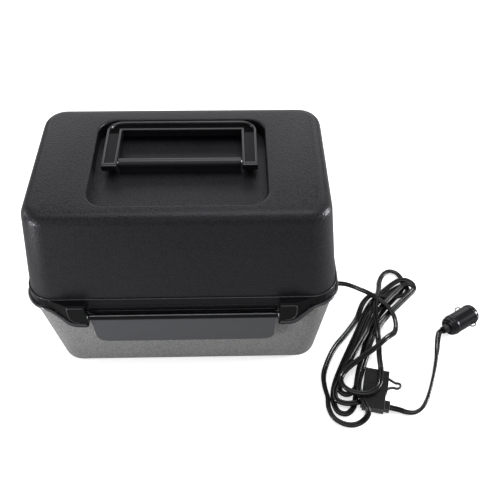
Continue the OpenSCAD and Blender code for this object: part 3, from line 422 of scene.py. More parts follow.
FINISHES: tuple[Finish, ...] = (
    Finish(
        "lid_plastic", "case_plastic", (0.0185, 0.018, 0.021), (0.0062, 0.006, 0.0074), rough=0.36,
        spread=0.06, grain=Grain.LEATHER, size=0.0013, depth=0.00015, specular=0.29, wear=0.25, edge=0.0008,
        glint=(0.95, 0.93, 1.0),
    ),
    # A lighter copy of the lid plastic on the sunk field's floor and the front of its mouth: painted light.
    Finish(
        "field_painted_light", "case_plastic", (0.024, 0.0234, 0.027), (0.008, 0.0078, 0.0095), rough=0.38,
        grain=Grain.LEATHER, size=0.0013, depth=0.00015, specular=0.3, wear=0.25, edge=0.0008,
        glint=(0.95, 0.93, 1.0),
    ),
    # Darker, low-gloss plastic: painted shade on the ears' fronts and on the sheet in the gap above the
    # latch, and the dark rubber of the relief's end ring.
    Finish(
        "painted_shade_and_dark_rubber", "case_plastic", (0.008, 0.0082, 0.009), (0.003, 0.0032, 0.0034), spread=0.05,
        depth=0.00002, specular=0.08, wear=0.6, edge=0.0005,
    ),
    # A lighter plastic for the beads, hem and fine lines on the lid: painted highlight lines.
    Finish(
        "ridge_painted_highlight", "case_plastic", (0.038, 0.0375, 0.042), (0.046, 0.045, 0.051), rough=0.24, spread=0.06,
        depth=0.00001, specular=0.6, wear=0.6, edge=0.0004,
    ),
    Finish(
        "lip_gloss", "case_plastic", (0.005, 0.005, 0.006), (0.004, 0.004, 0.0048), rough=0.24, spread=0.05,
        depth=0.00001, specular=0.2, wear=0.9, glint=(0.95, 0.93, 1.0),
    ),
    # Grey for the base, far lighter than the lid: partly the base's own tone, partly painted light from the
    # floor's bounce.
    Finish(
        "base_grey_and_painted_floor_light", "case_plastic", (0.285, 0.285, 0.285), (0.12, 0.12, 0.12), spread=0.1,
        grain=Grain.LEATHER, size=0.0017, depth=0.0004, specular=0.5, wear=0.4, edge=0.0008,
    ),
    Finish(
        "handle_plastic", "gloss_plastic", (0.008, 0.008, 0.0092), (0.006, 0.006, 0.007), rough=0.18,
        spread=0.05, size=0.004, depth=0.00001, specular=0.55, wear=0.5, edge=0.0004, glint=(0.96, 0.95, 1.0),
    ),
    Finish(
        "latch_plastic", "case_plastic", (0.059, 0.0608, 0.0672), (0.046, 0.0475, 0.053), spread=0.05,
        size=0.0008, depth=0.000012, specular=0.5, wear=0.6, edge=0.0007,
    ),
    Finish(
        "latch_gloss", "case_plastic", (0.005, 0.005, 0.006), (0.004, 0.004, 0.0048), rough=0.3, spread=0.05,
        size=0.001, depth=0.000008, specular=0.18, wear=0.5, edge=0.0005,
    ),
    # Light grey on the latch panel's rounded rim and on the line along the rolled edge: painted highlight.
    Finish(
        "latch_painted_highlight", "case_plastic", (0.17, 0.172, 0.18), (0.15, 0.152, 0.16), rough=0.4, spread=0.05,
        size=0.001, depth=0.000008, specular=0.5, wear=0.5, edge=0.0003,
    ),
    # Near-black for the floor of the handle's crossbar channel: painted shade.
    Finish(
        "channel_painted_shade", "gloss_plastic", (0.002, 0.002, 0.0024), (0.0015, 0.0015, 0.0018), rough=0.6,
        spread=0.05, size=0.001, depth=0.00001, specular=0.02, wear=0.2, edge=0.0004,
    ),
    # Plastic painted lighter than the handle for the pivot bar, standing for reflected light, and for the
    # line under the painted shade sheet, a painted highlight.
    Finish(
        "painted_sheen_plastic", "gloss_plastic", (0.022, 0.0215, 0.025), (0.017, 0.0165, 0.02), rough=0.3, spread=0.06,
        size=0.001, depth=0.00001, edge=0.0004,
    ),
    Finish(
        "leg_panel", "gloss_plastic", (0.0095, 0.009, 0.0125), (0.008, 0.0075, 0.0105), rough=0.42,
        spread=0.05, size=0.001, depth=0.00001, specular=0.12, edge=0.0004,
    ),
    Finish(
        "plug_plastic", "gloss_plastic", (0.005, 0.005, 0.0064), (0.004, 0.004, 0.0052), rough=0.22,
        spread=0.04, size=0.003, depth=0.000008, specular=0.35, wear=0.5, edge=0.0003,
        glint=(0.94, 0.94, 1.0),
    ),
    Finish(
        "relief_rubber", "gloss_plastic", (0.03, 0.03, 0.032), (0.022, 0.022, 0.024), rough=0.42, spread=0.06,
        size=0.001, depth=0.00001, wear=0.4, edge=0.0003,
    ),
    # Grey of the strap, also put on the end of the fuse holder's body that faces away from the cap: painted
    # light there.
    Finish(
        "strap_grey_and_painted_light", "gloss_plastic", (0.05, 0.05, 0.053), (0.04, 0.04, 0.043), rough=0.36, spread=0.06,
        size=0.001, depth=0.00002, specular=0.5, wear=0.6, edge=0.0004,
    ),
    Finish(
        "fuse_plastic", "gloss_plastic", (0.008, 0.008, 0.009), (0.006, 0.006, 0.0068), rough=0.36,
        size=0.0009, depth=0.00003, specular=0.18, wear=0.7, edge=0.0005,
    ),
    Finish(
        "lead_pvc", "flex_plastic", (0.007, 0.007, 0.0078), (0.005, 0.005, 0.0057), rough=0.2, spread=0.05,
        size=0.0008, depth=0.00001, specular=0.33, wear=0.1, edge=0.0002,
    ),
    Finish(
        "lining_metal", "lining", (0.78, 0.79, 0.8), (0.66, 0.67, 0.69), rough=0.32, spread=0.12,
        depth=0.00001, metallic=1.0, wear=0.2, lengthwise=(0.06, 1.0, 1.0),
    ),
    Finish(
        "steel", "steel", (0.72, 0.73, 0.75), (0.55, 0.56, 0.58), rough=0.26, spread=0.1, size=0.0006,
        depth=0.000008, metallic=1.0, wear=0.4, edge=0.0003,
    ),
    Finish(
        "bright_wire", "contact_brass", (0.17, 0.17, 0.18), (0.12, 0.12, 0.13), rough=0.24, size=0.0005,
        depth=0.000006, metallic=1.0, wear=0.4, edge=0.0002,
    ),
    Finish(
        "brass", "contact_brass", (0.78, 0.6, 0.3), (0.6, 0.44, 0.2), rough=0.28, spread=0.12, size=0.0006,
        depth=0.000008, metallic=1.0, wear=0.4, edge=0.0003,
    ),
    Finish(
        "wool", "wool", (0.78, 0.72, 0.5), (0.55, 0.48, 0.28), rough=0.95, spread=0.05, grain=Grain.FIBRE,
        depth=0.0006, specular=0.1, wear=0.2,
    ),
    Finish(
        "mica", "mica", (0.62, 0.55, 0.42), (0.4, 0.34, 0.25), rough=0.45, spread=0.2, size=0.004,
        depth=0.00003, specular=0.5, coat=0.2, wear=0.4,
    ),
    Finish(
        "ribbon_alloy", "ribbon", (0.45, 0.44, 0.42), (0.28, 0.26, 0.25), rough=0.4, spread=0.1, size=0.0006,
        depth=0.000006, metallic=1.0,
    ),
    Finish(
        "ceramic", "block", (0.82, 0.8, 0.74), (0.68, 0.65, 0.58), rough=0.38, spread=0.1, size=0.0008,
        depth=0.00002, specular=0.5,
    ),
    Finish(
        "silicone", "seal", (0.42, 0.43, 0.45), (0.33, 0.34, 0.36), rough=0.6, spread=0.1, size=0.001,
        depth=0.00003, specular=0.35, wear=0.2,
    ),
    Finish(
        "rubber", "foot", (0.022, 0.022, 0.022), (0.013, 0.013, 0.013), rough=0.72, spread=0.1, size=0.0007,
        specular=0.3, wear=0.5,
    ),
    Finish(
        "wire_sleeve", "wire", (0.55, 0.06, 0.04), (0.38, 0.035, 0.025), rough=0.4, spread=0.1, size=0.0006,
        depth=0.00001, specular=0.5, wear=0.1,
    ),
    Finish(
        "fuse_amber", "fuse", (0.72, 0.2, 0.03), (0.5, 0.12, 0.02), rough=0.25, spread=0.06, size=0.001,
        depth=0.00001, specular=0.5, coat=0.3,
    ),
)


class Finishes:
    """All the finishes of the lunch box, each built once and kept by name."""

    TABLE: dict[str, Finish] = {finish.name: finish for finish in FINISHES}

    def __init__(self) -> None:
        """Start with nothing built."""
        self._built: dict[str, bpy.types.Material] = {}

    def _material(self, name: str) -> bpy.types.Material:
        """Give the material of a finish, built at its first use."""
        if name not in self._built:
            self._built[name] = self.TABLE[name].build()
        return self._built[name]

    def dress(self, piece: Piece, name: str) -> None:
        """Give a piece one finish all over.

        Args:
            piece: The piece.
            name: Name of the finish.
        """
        piece.data.materials.clear()
        piece.data.materials.append(self._material(name))
        for face in piece.data.polygons:
            face.material_index = 0

    def patch(self, piece: Piece, name: str, test: FaceTest) -> None:
        """Give some faces of a dressed piece a second finish.

        Args:
            piece: The piece.
            name: Name of the second finish.
            test: Takes a face's middle and normal.
        """
        piece.data.materials.append(self._material(name))
        index = len(piece.data.materials) - 1
        for face in piece.data.polygons:
            if test(face.center, face.normal):
                face.material_index = index


# ------------------------------------------------------------- bench for meshes


class Bench:
    """Hand tools for shaping meshes with Blender's own operators."""

    @staticmethod
    def clear() -> None:
        """Leave nothing selected."""
        if bpy.context.object and bpy.context.object.mode != "OBJECT":
            bpy.ops.object.mode_set(mode="OBJECT")
        bpy.ops.object.select_all(action="DESELECT")

    @staticmethod
    def only(piece: Piece) -> None:
        """Select one piece and make it active."""
        Bench.clear()
        piece.select_set(True)
        bpy.context.view_layer.objects.active = piece

    @staticmethod
    def settle(name: str) -> Piece:
        """Name the new primitive and move its place into its mesh.

        Args:
            name: Name of the piece.

        Returns:
            The piece, at the origin.
        """
        piece = bpy.context.active_object
        piece.name = name
        piece.data.name = name
        bpy.ops.object.transform_apply(location=True, rotation=True, scale=True)
        return piece

    @staticmethod
    def add(name: str, data: bpy.types.ID) -> Piece:
        """Put a new object with the given data in the scene."""
        thing = bpy.data.objects.new(name, data)
        bpy.context.scene.collection.objects.link(thing)
        return thing

    @staticmethod
    def block(name: str, low: Point, high: Point) -> Piece:
        """Add a block between two corners.

        Args:
            name: Name of the piece.
            low: Lowest corner.
            high: Highest corner.

        Returns:
            The block.
        """
        Bench.clear()
        middle = tuple((a + b) / 2 for a, b in zip(low, high))
        size = tuple(b - a for a, b in zip(low, high))
        bpy.ops.mesh.primitive_cube_add(size=1.0, location=middle, scale=size)
        return Bench.settle(name)

    @staticmethod
    def rod(name: str, start: Point, end: Point, radius: float, sides: int) -> Piece:
        """Add a rod between two points.

        Args:
            name: Name of the piece.
            start: Middle of the first end.
            end: Middle of the last end.
            radius: Radius of the rod.
            sides: Number of faces round it.

        Returns:
            The rod.
        """
        Bench.clear()
        along = Vector(end) - Vector(start)
        bpy.ops.mesh.primitive_cylinder_add(
            vertices=sides,
            radius=radius,
            depth=along.length,
            location=(Vector(start) + Vector(end)) / 2,
            rotation=along.to_track_quat("Z", "Y").to_euler(),
        )
        return Bench.settle(name)

    @staticmethod
    def put(piece: Piece, place: Matrix) -> None:
        """Move a piece by a matrix, and keep the place in its mesh."""
        Bench.only(piece)
        piece.matrix_world = place
        bpy.ops.object.transform_apply(location=True, rotation=True, scale=True)

    @staticmethod
    def wire(name: str, route: Sequence[Vector], radius: float) -> Piece:
        """Draw a round wire along a route.

        Args:
            name: Name of the piece.
            route: Points of its middle.
            radius: Radius of the wire.

        Returns:
            The wire with closed ends.
        """
        Bench.clear()
        curve = bpy.data.curves.new(name, "CURVE")
        curve.dimensions = "3D"
        curve.bevel_depth = radius
        curve.bevel_resolution = 4
        curve.use_fill_caps = True
        line = curve.splines.new("BEZIER")
        line.bezier_points.add(len(route) - 1)
        for point, place in zip(line.bezier_points, route):
            point.co = place
            point.handle_left_type = point.handle_right_type = "AUTO"
        line.resolution_u = 6
        Bench.only(Bench.add(name, curve))
        bpy.ops.object.convert(target="MESH")
        piece = bpy.context.active_object
        piece.data.name = name
        Bench.weld(piece)
        Bench.face_outward(piece)
        return piece

    @staticmethod
    def face_outward(piece: Piece) -> None:
        """Turn the faces of a swept piece outward and smooth it along its length."""
        with Bench.editing(piece, "FACE", "SELECT"):
            bpy.ops.mesh.normals_make_consistent(inside=False)
        Bench.smooth(piece, SOFT)

    @staticmethod
    def turned(name: str, outline: Sequence[tuple[float, float]], sides: int) -> Piece:
        """Turn a closed outline about the Z axis.

        Args:
            name: Name of the piece.
            outline: Places along the axis with the radius there.
            sides: Number of faces round it.

        Returns:
            The ring.
        """
        Bench.clear()
        level, radius = outline[0]
        bpy.ops.mesh.primitive_circle_add(vertices=sides, radius=radius, location=(0.0, 0.0, level))
        piece = Bench.settle(name)
        with Bench.editing(piece, "EDGE", "SELECT"):
            for along, out in (*outline[1:], outline[0]):
                bpy.ops.mesh.extrude_region_move(TRANSFORM_OT_translate={"value": (0.0, 0.0, along - level)})
                share = out / radius
                bpy.ops.transform.resize(value=(share, share, 1.0), center_override=(0.0, 0.0, along))
                level, radius = along, out
            bpy.ops.mesh.select_all(action="SELECT")
            bpy.ops.mesh.remove_doubles(threshold=WELD / 2)
            bpy.ops.mesh.normals_make_consistent(inside=False)
        return piece

    @staticmethod
    @contextmanager
    def editing(piece: Piece, kind: str, action: str = "DESELECT") -> Iterator[None]:
        """Work in edit mode, with nothing selected or all of the piece.

        Args:
            piece: The piece to shape.
            kind: VERT, EDGE or FACE.
            action: DESELECT or SELECT.

        Yields:
            Nothing; edit mode ends after the block.
        """
        Bench.only(piece)
        bpy.ops.object.mode_set(mode="EDIT")
        bpy.ops.mesh.select_mode(type=kind)
        bpy.ops.mesh.select_all(action=action)
        yield
        bpy.ops.object.mode_set(mode="OBJECT")

    @staticmethod
    def pick_faces(piece: Piece, test: FaceTest) -> None:
        """Select faces by their middle and normal.

        Args:
            piece: The piece in edit mode.
            test: Takes a face's middle and normal.
        """
        mesh = bmesh.from_edit_mesh(piece.data)
        for face in mesh.faces:
            face.select_set(test(face.calc_center_median(), face.normal))
        bmesh.update_edit_mesh(piece.data)

    @staticmethod
    def pick_edges(piece: Piece, test: EdgeTest) -> int:
        """Select edges by their ends and the angle between their faces.

        Args:
            piece: The piece in edit mode.
            test: Takes the two ends and the angle in degrees.

        Returns:
            How many are selected.
        """
        mesh = bmesh.from_edit_mesh(piece.data)
        count = 0
        for edge in mesh.edges:
            angle = math.degrees(edge.calc_face_angle(0.0)) if len(edge.link_faces) == 2 else 180.0
            chosen = test(edge.verts[0].co, edge.verts[1].co, angle)
            edge.select_set(chosen)
            count += int(chosen)
        bmesh.update_edit_mesh(piece.data)
        return count

    @staticmethod
    def round_edges(piece: Piece, test: EdgeTest, size: float, steps: int) -> None:
        """Round chosen edges.

        Args:
            piece: The piece.
            test: Chooses the edges.
            size: Width of the rounding.
            steps: Faces across it.
        """
        with Bench.editing(piece, "EDGE"):
            if Bench.pick_edges(piece, test):
                bpy.ops.mesh.bevel(
                    offset=size, offset_type="OFFSET", segments=steps, profile=0.5, affect="EDGES"
                )

    @staticmethod
    def cut(piece: Piece, tool: Piece, kind: str = "DIFFERENCE") -> None:
        """Join, cut or keep the common part of two pieces, and remove the tool.

        Args:
            piece: The piece that stays.
            tool: The piece that works on it.
            kind: UNION, DIFFERENCE or INTERSECT.
        """
        Bench.only(piece)
        step = piece.modifiers.new("cut", "BOOLEAN")
        step.operation = kind
        step.solver = "EXACT"
        step.object = tool
        bpy.ops.object.modifier_apply(modifier=step.name)
        bpy.data.objects.remove(tool, do_unlink=True)

    @staticmethod
    def weld(piece: Piece) -> None:
        """Merge doubled points of a piece."""
        with Bench.editing(piece, "VERT", "SELECT"):
            bpy.ops.mesh.remove_doubles(threshold=WELD)

    @staticmethod
    def smooth(piece: Piece, angle: float) -> None:
        """Shade a piece smooth below an angle in degrees."""
        Bench.only(piece)
        bpy.ops.object.shade_smooth_by_angle(angle=math.radians(angle))

    @staticmethod
    def even_normals(piece: Piece) -> None:
        """Weigh the normals by face area, so that flat faces stay flat beside small roundings."""
        Bench.only(piece)
        step = piece.modifiers.new("even", "WEIGHTED_NORMAL")
        step.keep_sharp = True
        bpy.ops.object.modifier_apply(modifier=step.name)

    @staticmethod
    def join(name: str, parts: Sequence[Piece]) -> Piece:
        """Join several pieces in one mesh.

        Args:
            name: Name of the result.
            parts: The pieces.

        Returns:
            The joined piece.
        """
        Bench.only(parts[0])
        for part in parts:
            part.select_set(True)
        bpy.ops.object.join()
        parts[0].name = name
        parts[0].data.name = name
        return parts[0]

    @staticmethod
    def refined(node: str, angle: float = PLAIN) -> Piece:
        """Copy a node of the frame, merge its points and smooth it.

        Args:
            node: Node of the frame.
            angle: Angle below which it is smooth, in degrees.

        Returns:
            The copy, which replaces the node.
        """
        piece = Bench.add(f"{node}_dressed", frame["nodes"][node].data.copy())
        Bench.only(piece)
        bpy.ops.mesh.customdata_custom_splitnormals_clear()
        Bench.weld(piece)
        with Bench.editing(piece, "FACE", "SELECT"):
            bpy.ops.mesh.dissolve_limited(angle_limit=math.radians(FLAT))
        Bench.smooth(piece, angle)
        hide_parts(node)
        return piece


# ------------------------------------------------------------------------ studio


class Studio:
    """Camera, floor and lamps."""

    # The camera: its place, its angles in radians, its focal length and picture in pixels, its sensor in mm.
    CENTRE = Vector((0.044197, -0.444988, 0.572213))
    YAW = 0.035655
    PITCH = 0.83389
    ROLL = -0.013949
    FOCAL = 683.595
    FRAME_SIDE = 500
    SENSOR = 36.0
    # What the lamps point at, and their names, places, faces (width and height) and powers in watts.
    MIDDLE = Vector((0.0, 0.0, 0.1))
    LAMPS: tuple[tuple[str, Point, tuple[float, float], float], ...] = (
        ("key", (0.1, 0.15, 1.8), (1.2, 1.2), 13.0),
        ("backdrop", (0.0, 2.0, 1.0), (3.2, 1.4), 20.0),
        ("left_front", (-0.6, -0.42, 0.16), (0.1, 0.1), 3.6),
        ("right_side", (1.5, 0.05, 0.5), (0.4, 0.4), 26.0),
        ("left_side", (-1.6, 0.3, 0.5), (0.5, 0.5), 5.0),
        ("front_line", (0.3, -1.1, 1.25), (1.6, 0.02), 1.3),
    )
    # Share of the camera's white floor and sky that shows in reflections.
    MIRRORED = 0.1
    # Strength of the sky as a light, and as the camera sees it.
    SKY = (0.3, 1.0)
    FLOOR_SIDE = 14.0
    FLOOR_DROP = 0.0002

    def camera(self) -> None:
        """Set the camera at its measured place."""
        ahead = Vector(
            (
                math.sin(self.YAW) * math.cos(self.PITCH),
                math.cos(self.YAW) * math.cos(self.PITCH),
                -math.sin(self.PITCH),
            )
        )
        level = Vector((math.cos(self.YAW), -math.sin(self.YAW), 0.0))
        lower = ahead.cross(level)
        right = level * math.cos(self.ROLL) + lower * math.sin(self.ROLL)
        down = lower * math.cos(self.ROLL) - level * math.sin(self.ROLL)
        data = bpy.data.cameras.new("camera")
        data.sensor_width = self.SENSOR
        data.lens = self.FOCAL / self.FRAME_SIDE * self.SENSOR
        camera = Bench.add("camera", data)
        axes = Matrix((right, -down, -ahead)).transposed()
        camera.matrix_world = Matrix.Translation(self.CENTRE) @ axes.to_4x4()
        bpy.context.scene.camera = camera

    def floor(self) -> None:
        """Lay a plain pale floor that keeps the shadows."""
        Bench.clear()
        bpy.ops.mesh.primitive_plane_add(size=self.FLOOR_SIDE, location=(0.0, 0.0, -self.FLOOR_DROP))
        floor = Bench.settle("floor")
        graph = Graph(bpy.data.materials.new("floor_paper"))
        camera, gloss = self._rays(graph, "Camera", "Glossy")
        graph.principled(
            {
                "Base Color": graph.blend(gloss, (0.86, 0.86, 0.86), (0.4, 0.4, 0.4)),
                "Roughness": 0.9,
                "Specular IOR Level": 0.0,
                "Emission Color": (1.0, 1.0, 1.0),
                "Emission Strength": camera.over(gloss * self.MIRRORED) * 0.6,
            }
        )
        floor.data.materials.append(graph.owner)

    @staticmethod
    def _rays(graph: Graph, *kinds: str) -> list[Signal]:
        """Give a signal that is 1 on each of the given kinds of ray."""
        return [graph.add("ShaderNodeLightPath", output=f"Is {kind} Ray") for kind in kinds]

    def world(self) -> None:
        """Surround the scene with soft white light."""
        bpy.context.scene.world = bpy.data.worlds.new("studio")
        graph = Graph(bpy.context.scene.world)
        camera, through, gloss = self._rays(graph, "Camera", "Transmission", "Glossy")
        soft, white = (graph.add("ShaderNodeBackground", {}, {"Strength": power}) for power in self.SKY)
        share = camera.over(through).over(gloss * self.MIRRORED)
        mixed = graph.add("ShaderNodeMixShader", {}, {0: share, 1: soft, 2: white})
        graph.surface("ShaderNodeOutputWorld", mixed)

    def lamp(self, name: str, place: Point, size: tuple[float, float], power: float) -> None:
        """Hang one soft lamp.

        Args:
            name: Name of the lamp.
            place: Where it hangs.
            size: Width and height of its face.
            power: Power in watts.
        """
        data = bpy.data.lights.new(name, "AREA")
        data.shape = "RECTANGLE"
        data.size, data.size_y = size
        data.energy = power
        lamp = Bench.add(name, data)
        lamp.visible_camera = False
        lamp.location = place
        lamp.rotation_euler = (self.MIDDLE - Vector(place)).to_track_quat("-Z", "Y").to_euler()

    def build(self) -> None:
        """Make the whole studio."""
        bpy.context.scene.view_settings.view_transform = "Standard"
        self.camera()
        self.floor()
        self.world()
        for name, place, size, power in self.LAMPS:
            self.lamp(name, place, size, power)
        LOG.info("studio: camera, floor, sky and %d lamps", len(self.LAMPS))


# ------------------------------------------------------------------------- lead


@dataclass(frozen=True)
class TwinLead:
    """Sizes of the flat twin lead: width, radius of a core, step along it and half the waist's thickness."""

    width: float = 0.0055
    core: float = 0.00142
    step: float = 0.0026
    groove: float = 0.0002272

    def outline(self) -> list[tuple[float, float]]:
        """Give the figure of eight that the lead has in section.

        Returns:
            Points across and up, in order.
        """
        apart = self.width / 2 - self.core
        right = [math.radians(a) for a in range(-150, 151, 30)]
        left = [math.radians(a) for a in range(30, 331, 30)]
        half = [(apart + self.core * math.cos(a), self.core * math.sin(a)) for a in right]
        other = [(-apart + self.core * math.cos(a), self.core * math.sin(a)) for a in left]
        return [(0.0, -self.groove), *half, (0.0, self.groove), *other]


class LeadRun:
    """One stretch of twin lead that follows a route."""

    CURVE_STEPS = 12
    GROUND_GAP = 0.0001

    def __init__(self, name: str, route: Sequence[Point], section: TwinLead, twists: Outline) -> None:
        """Hold the route and the twists.

        Args:
            name: Name of the stretch.
            route: Points in metres.
            section: Sizes of the lead.
            twists: Share of the length and twist there, in degrees.
        """
        self.name = name
        self.section = section
        self.twists = twists
        self.path = self._even(self._curve([Vector(p) for p in route]))

    def _curve(self, points: list[Vector]) -> list[Vector]:
        """Put a smooth curve through the points.

        Args:
            points: The route.

        Returns:
            Closely spaced points.
        """
        result: list[Vector] = []
        padded = [2 * points[0] - points[1], *points, 2 * points[-1] - points[-2]]
        for a, b, c, d in zip(padded, padded[1:], padded[2:], padded[3:]):
            knots = [0.0]
            for one, two in ((a, b), (b, c), (c, d)):
                knots.append(knots[-1] + max((two - one).length, 1e-6) ** 0.5)
            for step in range(self.CURVE_STEPS):
                t = knots[1] + (knots[2] - knots[1]) * step / self.CURVE_STEPS
                ab = a.lerp(b, (t - knots[0]) / (knots[1] - knots[0]))
                bc = b.lerp(c, (t - knots[1]) / (knots[2] - knots[1]))
                cd = c.lerp(d, (t - knots[2]) / (knots[3] - knots[2]))
                abc = ab.lerp(bc, (t - knots[0]) / (knots[2] - knots[0]))
                bcd = bc.lerp(cd, (t - knots[1]) / (knots[3] - knots[1]))
                result.append(abc.lerp(bcd, (t - knots[1]) / (knots[2] - knots[1])))
        result.append(points[-1].copy())
        return result

    def _even(self, dense: list[Vector]) -> list[Vector]:
        """Space points evenly along a curve.

        Args:
            dense: Closely spaced points.

        Returns:
            Points one step apart.
        """
        lengths = [0.0]
        for one, two in zip(dense, dense[1:]):
            lengths.append(lengths[-1] + (two - one).length)
        count = round(lengths[-1] / self.section.step)
        result: list[Vector] = []
        index = 0
        for step in range(count + 1):
            goal = lengths[-1] * step / count
            while index < len(lengths) - 2 and lengths[index + 1] < goal:
                index += 1
            gap = lengths[index + 1] - lengths[index]
            result.append(dense[index].lerp(dense[index + 1], (goal - lengths[index]) / gap if gap else 0.0))
        return result

    @property
    def length(self) -> float:
        """Length of the path in metres."""
        return sum((b - a).length for a, b in zip(self.path, self.path[1:]))

    def _twist(self, share: float) -> float:
        """Give the twist at a share of the length, in radians."""
        marks = [(0.0, 0.0), *self.twists, (1.0, self.twists[-1][1])]
        for (low, before), (high, after) in zip(marks, marks[1:]):
            if low <= share <= high and high > low:
                ease = (share - low) / (high - low)
                ease = ease * ease * (3 - 2 * ease)
                return math.radians(before + (after - before) * ease)
        return math.radians(marks[-1][1])

    def build(self) -> Piece:
        """Sweep the section along the path.

        Returns:
            The lead as one closed mesh.
        """
        outline = self.section.outline()
        sides = len(outline)
        points: list[Vector] = []
        last = len(self.path) - 1
        for index, middle in enumerate(self.path):
            ahead = (self.path[min(index + 1, last)] - self.path[max(index - 1, 0)]).normalized()
            across = ahead.cross(Vector((0.0, 0.0, 1.0))).normalized()
            up = across.cross(ahead)
            twist = self._twist(index / last)
            side = across * math.cos(twist) + up * math.sin(twist)
            top = up * math.cos(twist) - across * math.sin(twist)
            tall = self.section.core + (self.section.width / 2 - self.section.core) * abs(math.sin(twist))
            lift = max(0.0, tall + self.GROUND_GAP - middle.z) * Vector((0.0, 0.0, 1.0))
            points.extend(middle + lift + side * x + top * y for x, y in outline)
        faces = []
        for start in range(0, last * sides, sides):
            for k in range(sides):
                after = (k + 1) % sides
                faces.append((start + k, start + after, start + sides + after, start + sides + k))
        faces.append(tuple(reversed(range(sides))))
        faces.append(tuple(range(last * sides, (last + 1) * sides)))
        mesh = bpy.data.meshes.new(self.name)
        mesh.from_pydata(points, [], faces)
        piece = Bench.add(self.name, mesh)
        Bench.face_outward(piece)
        return piece


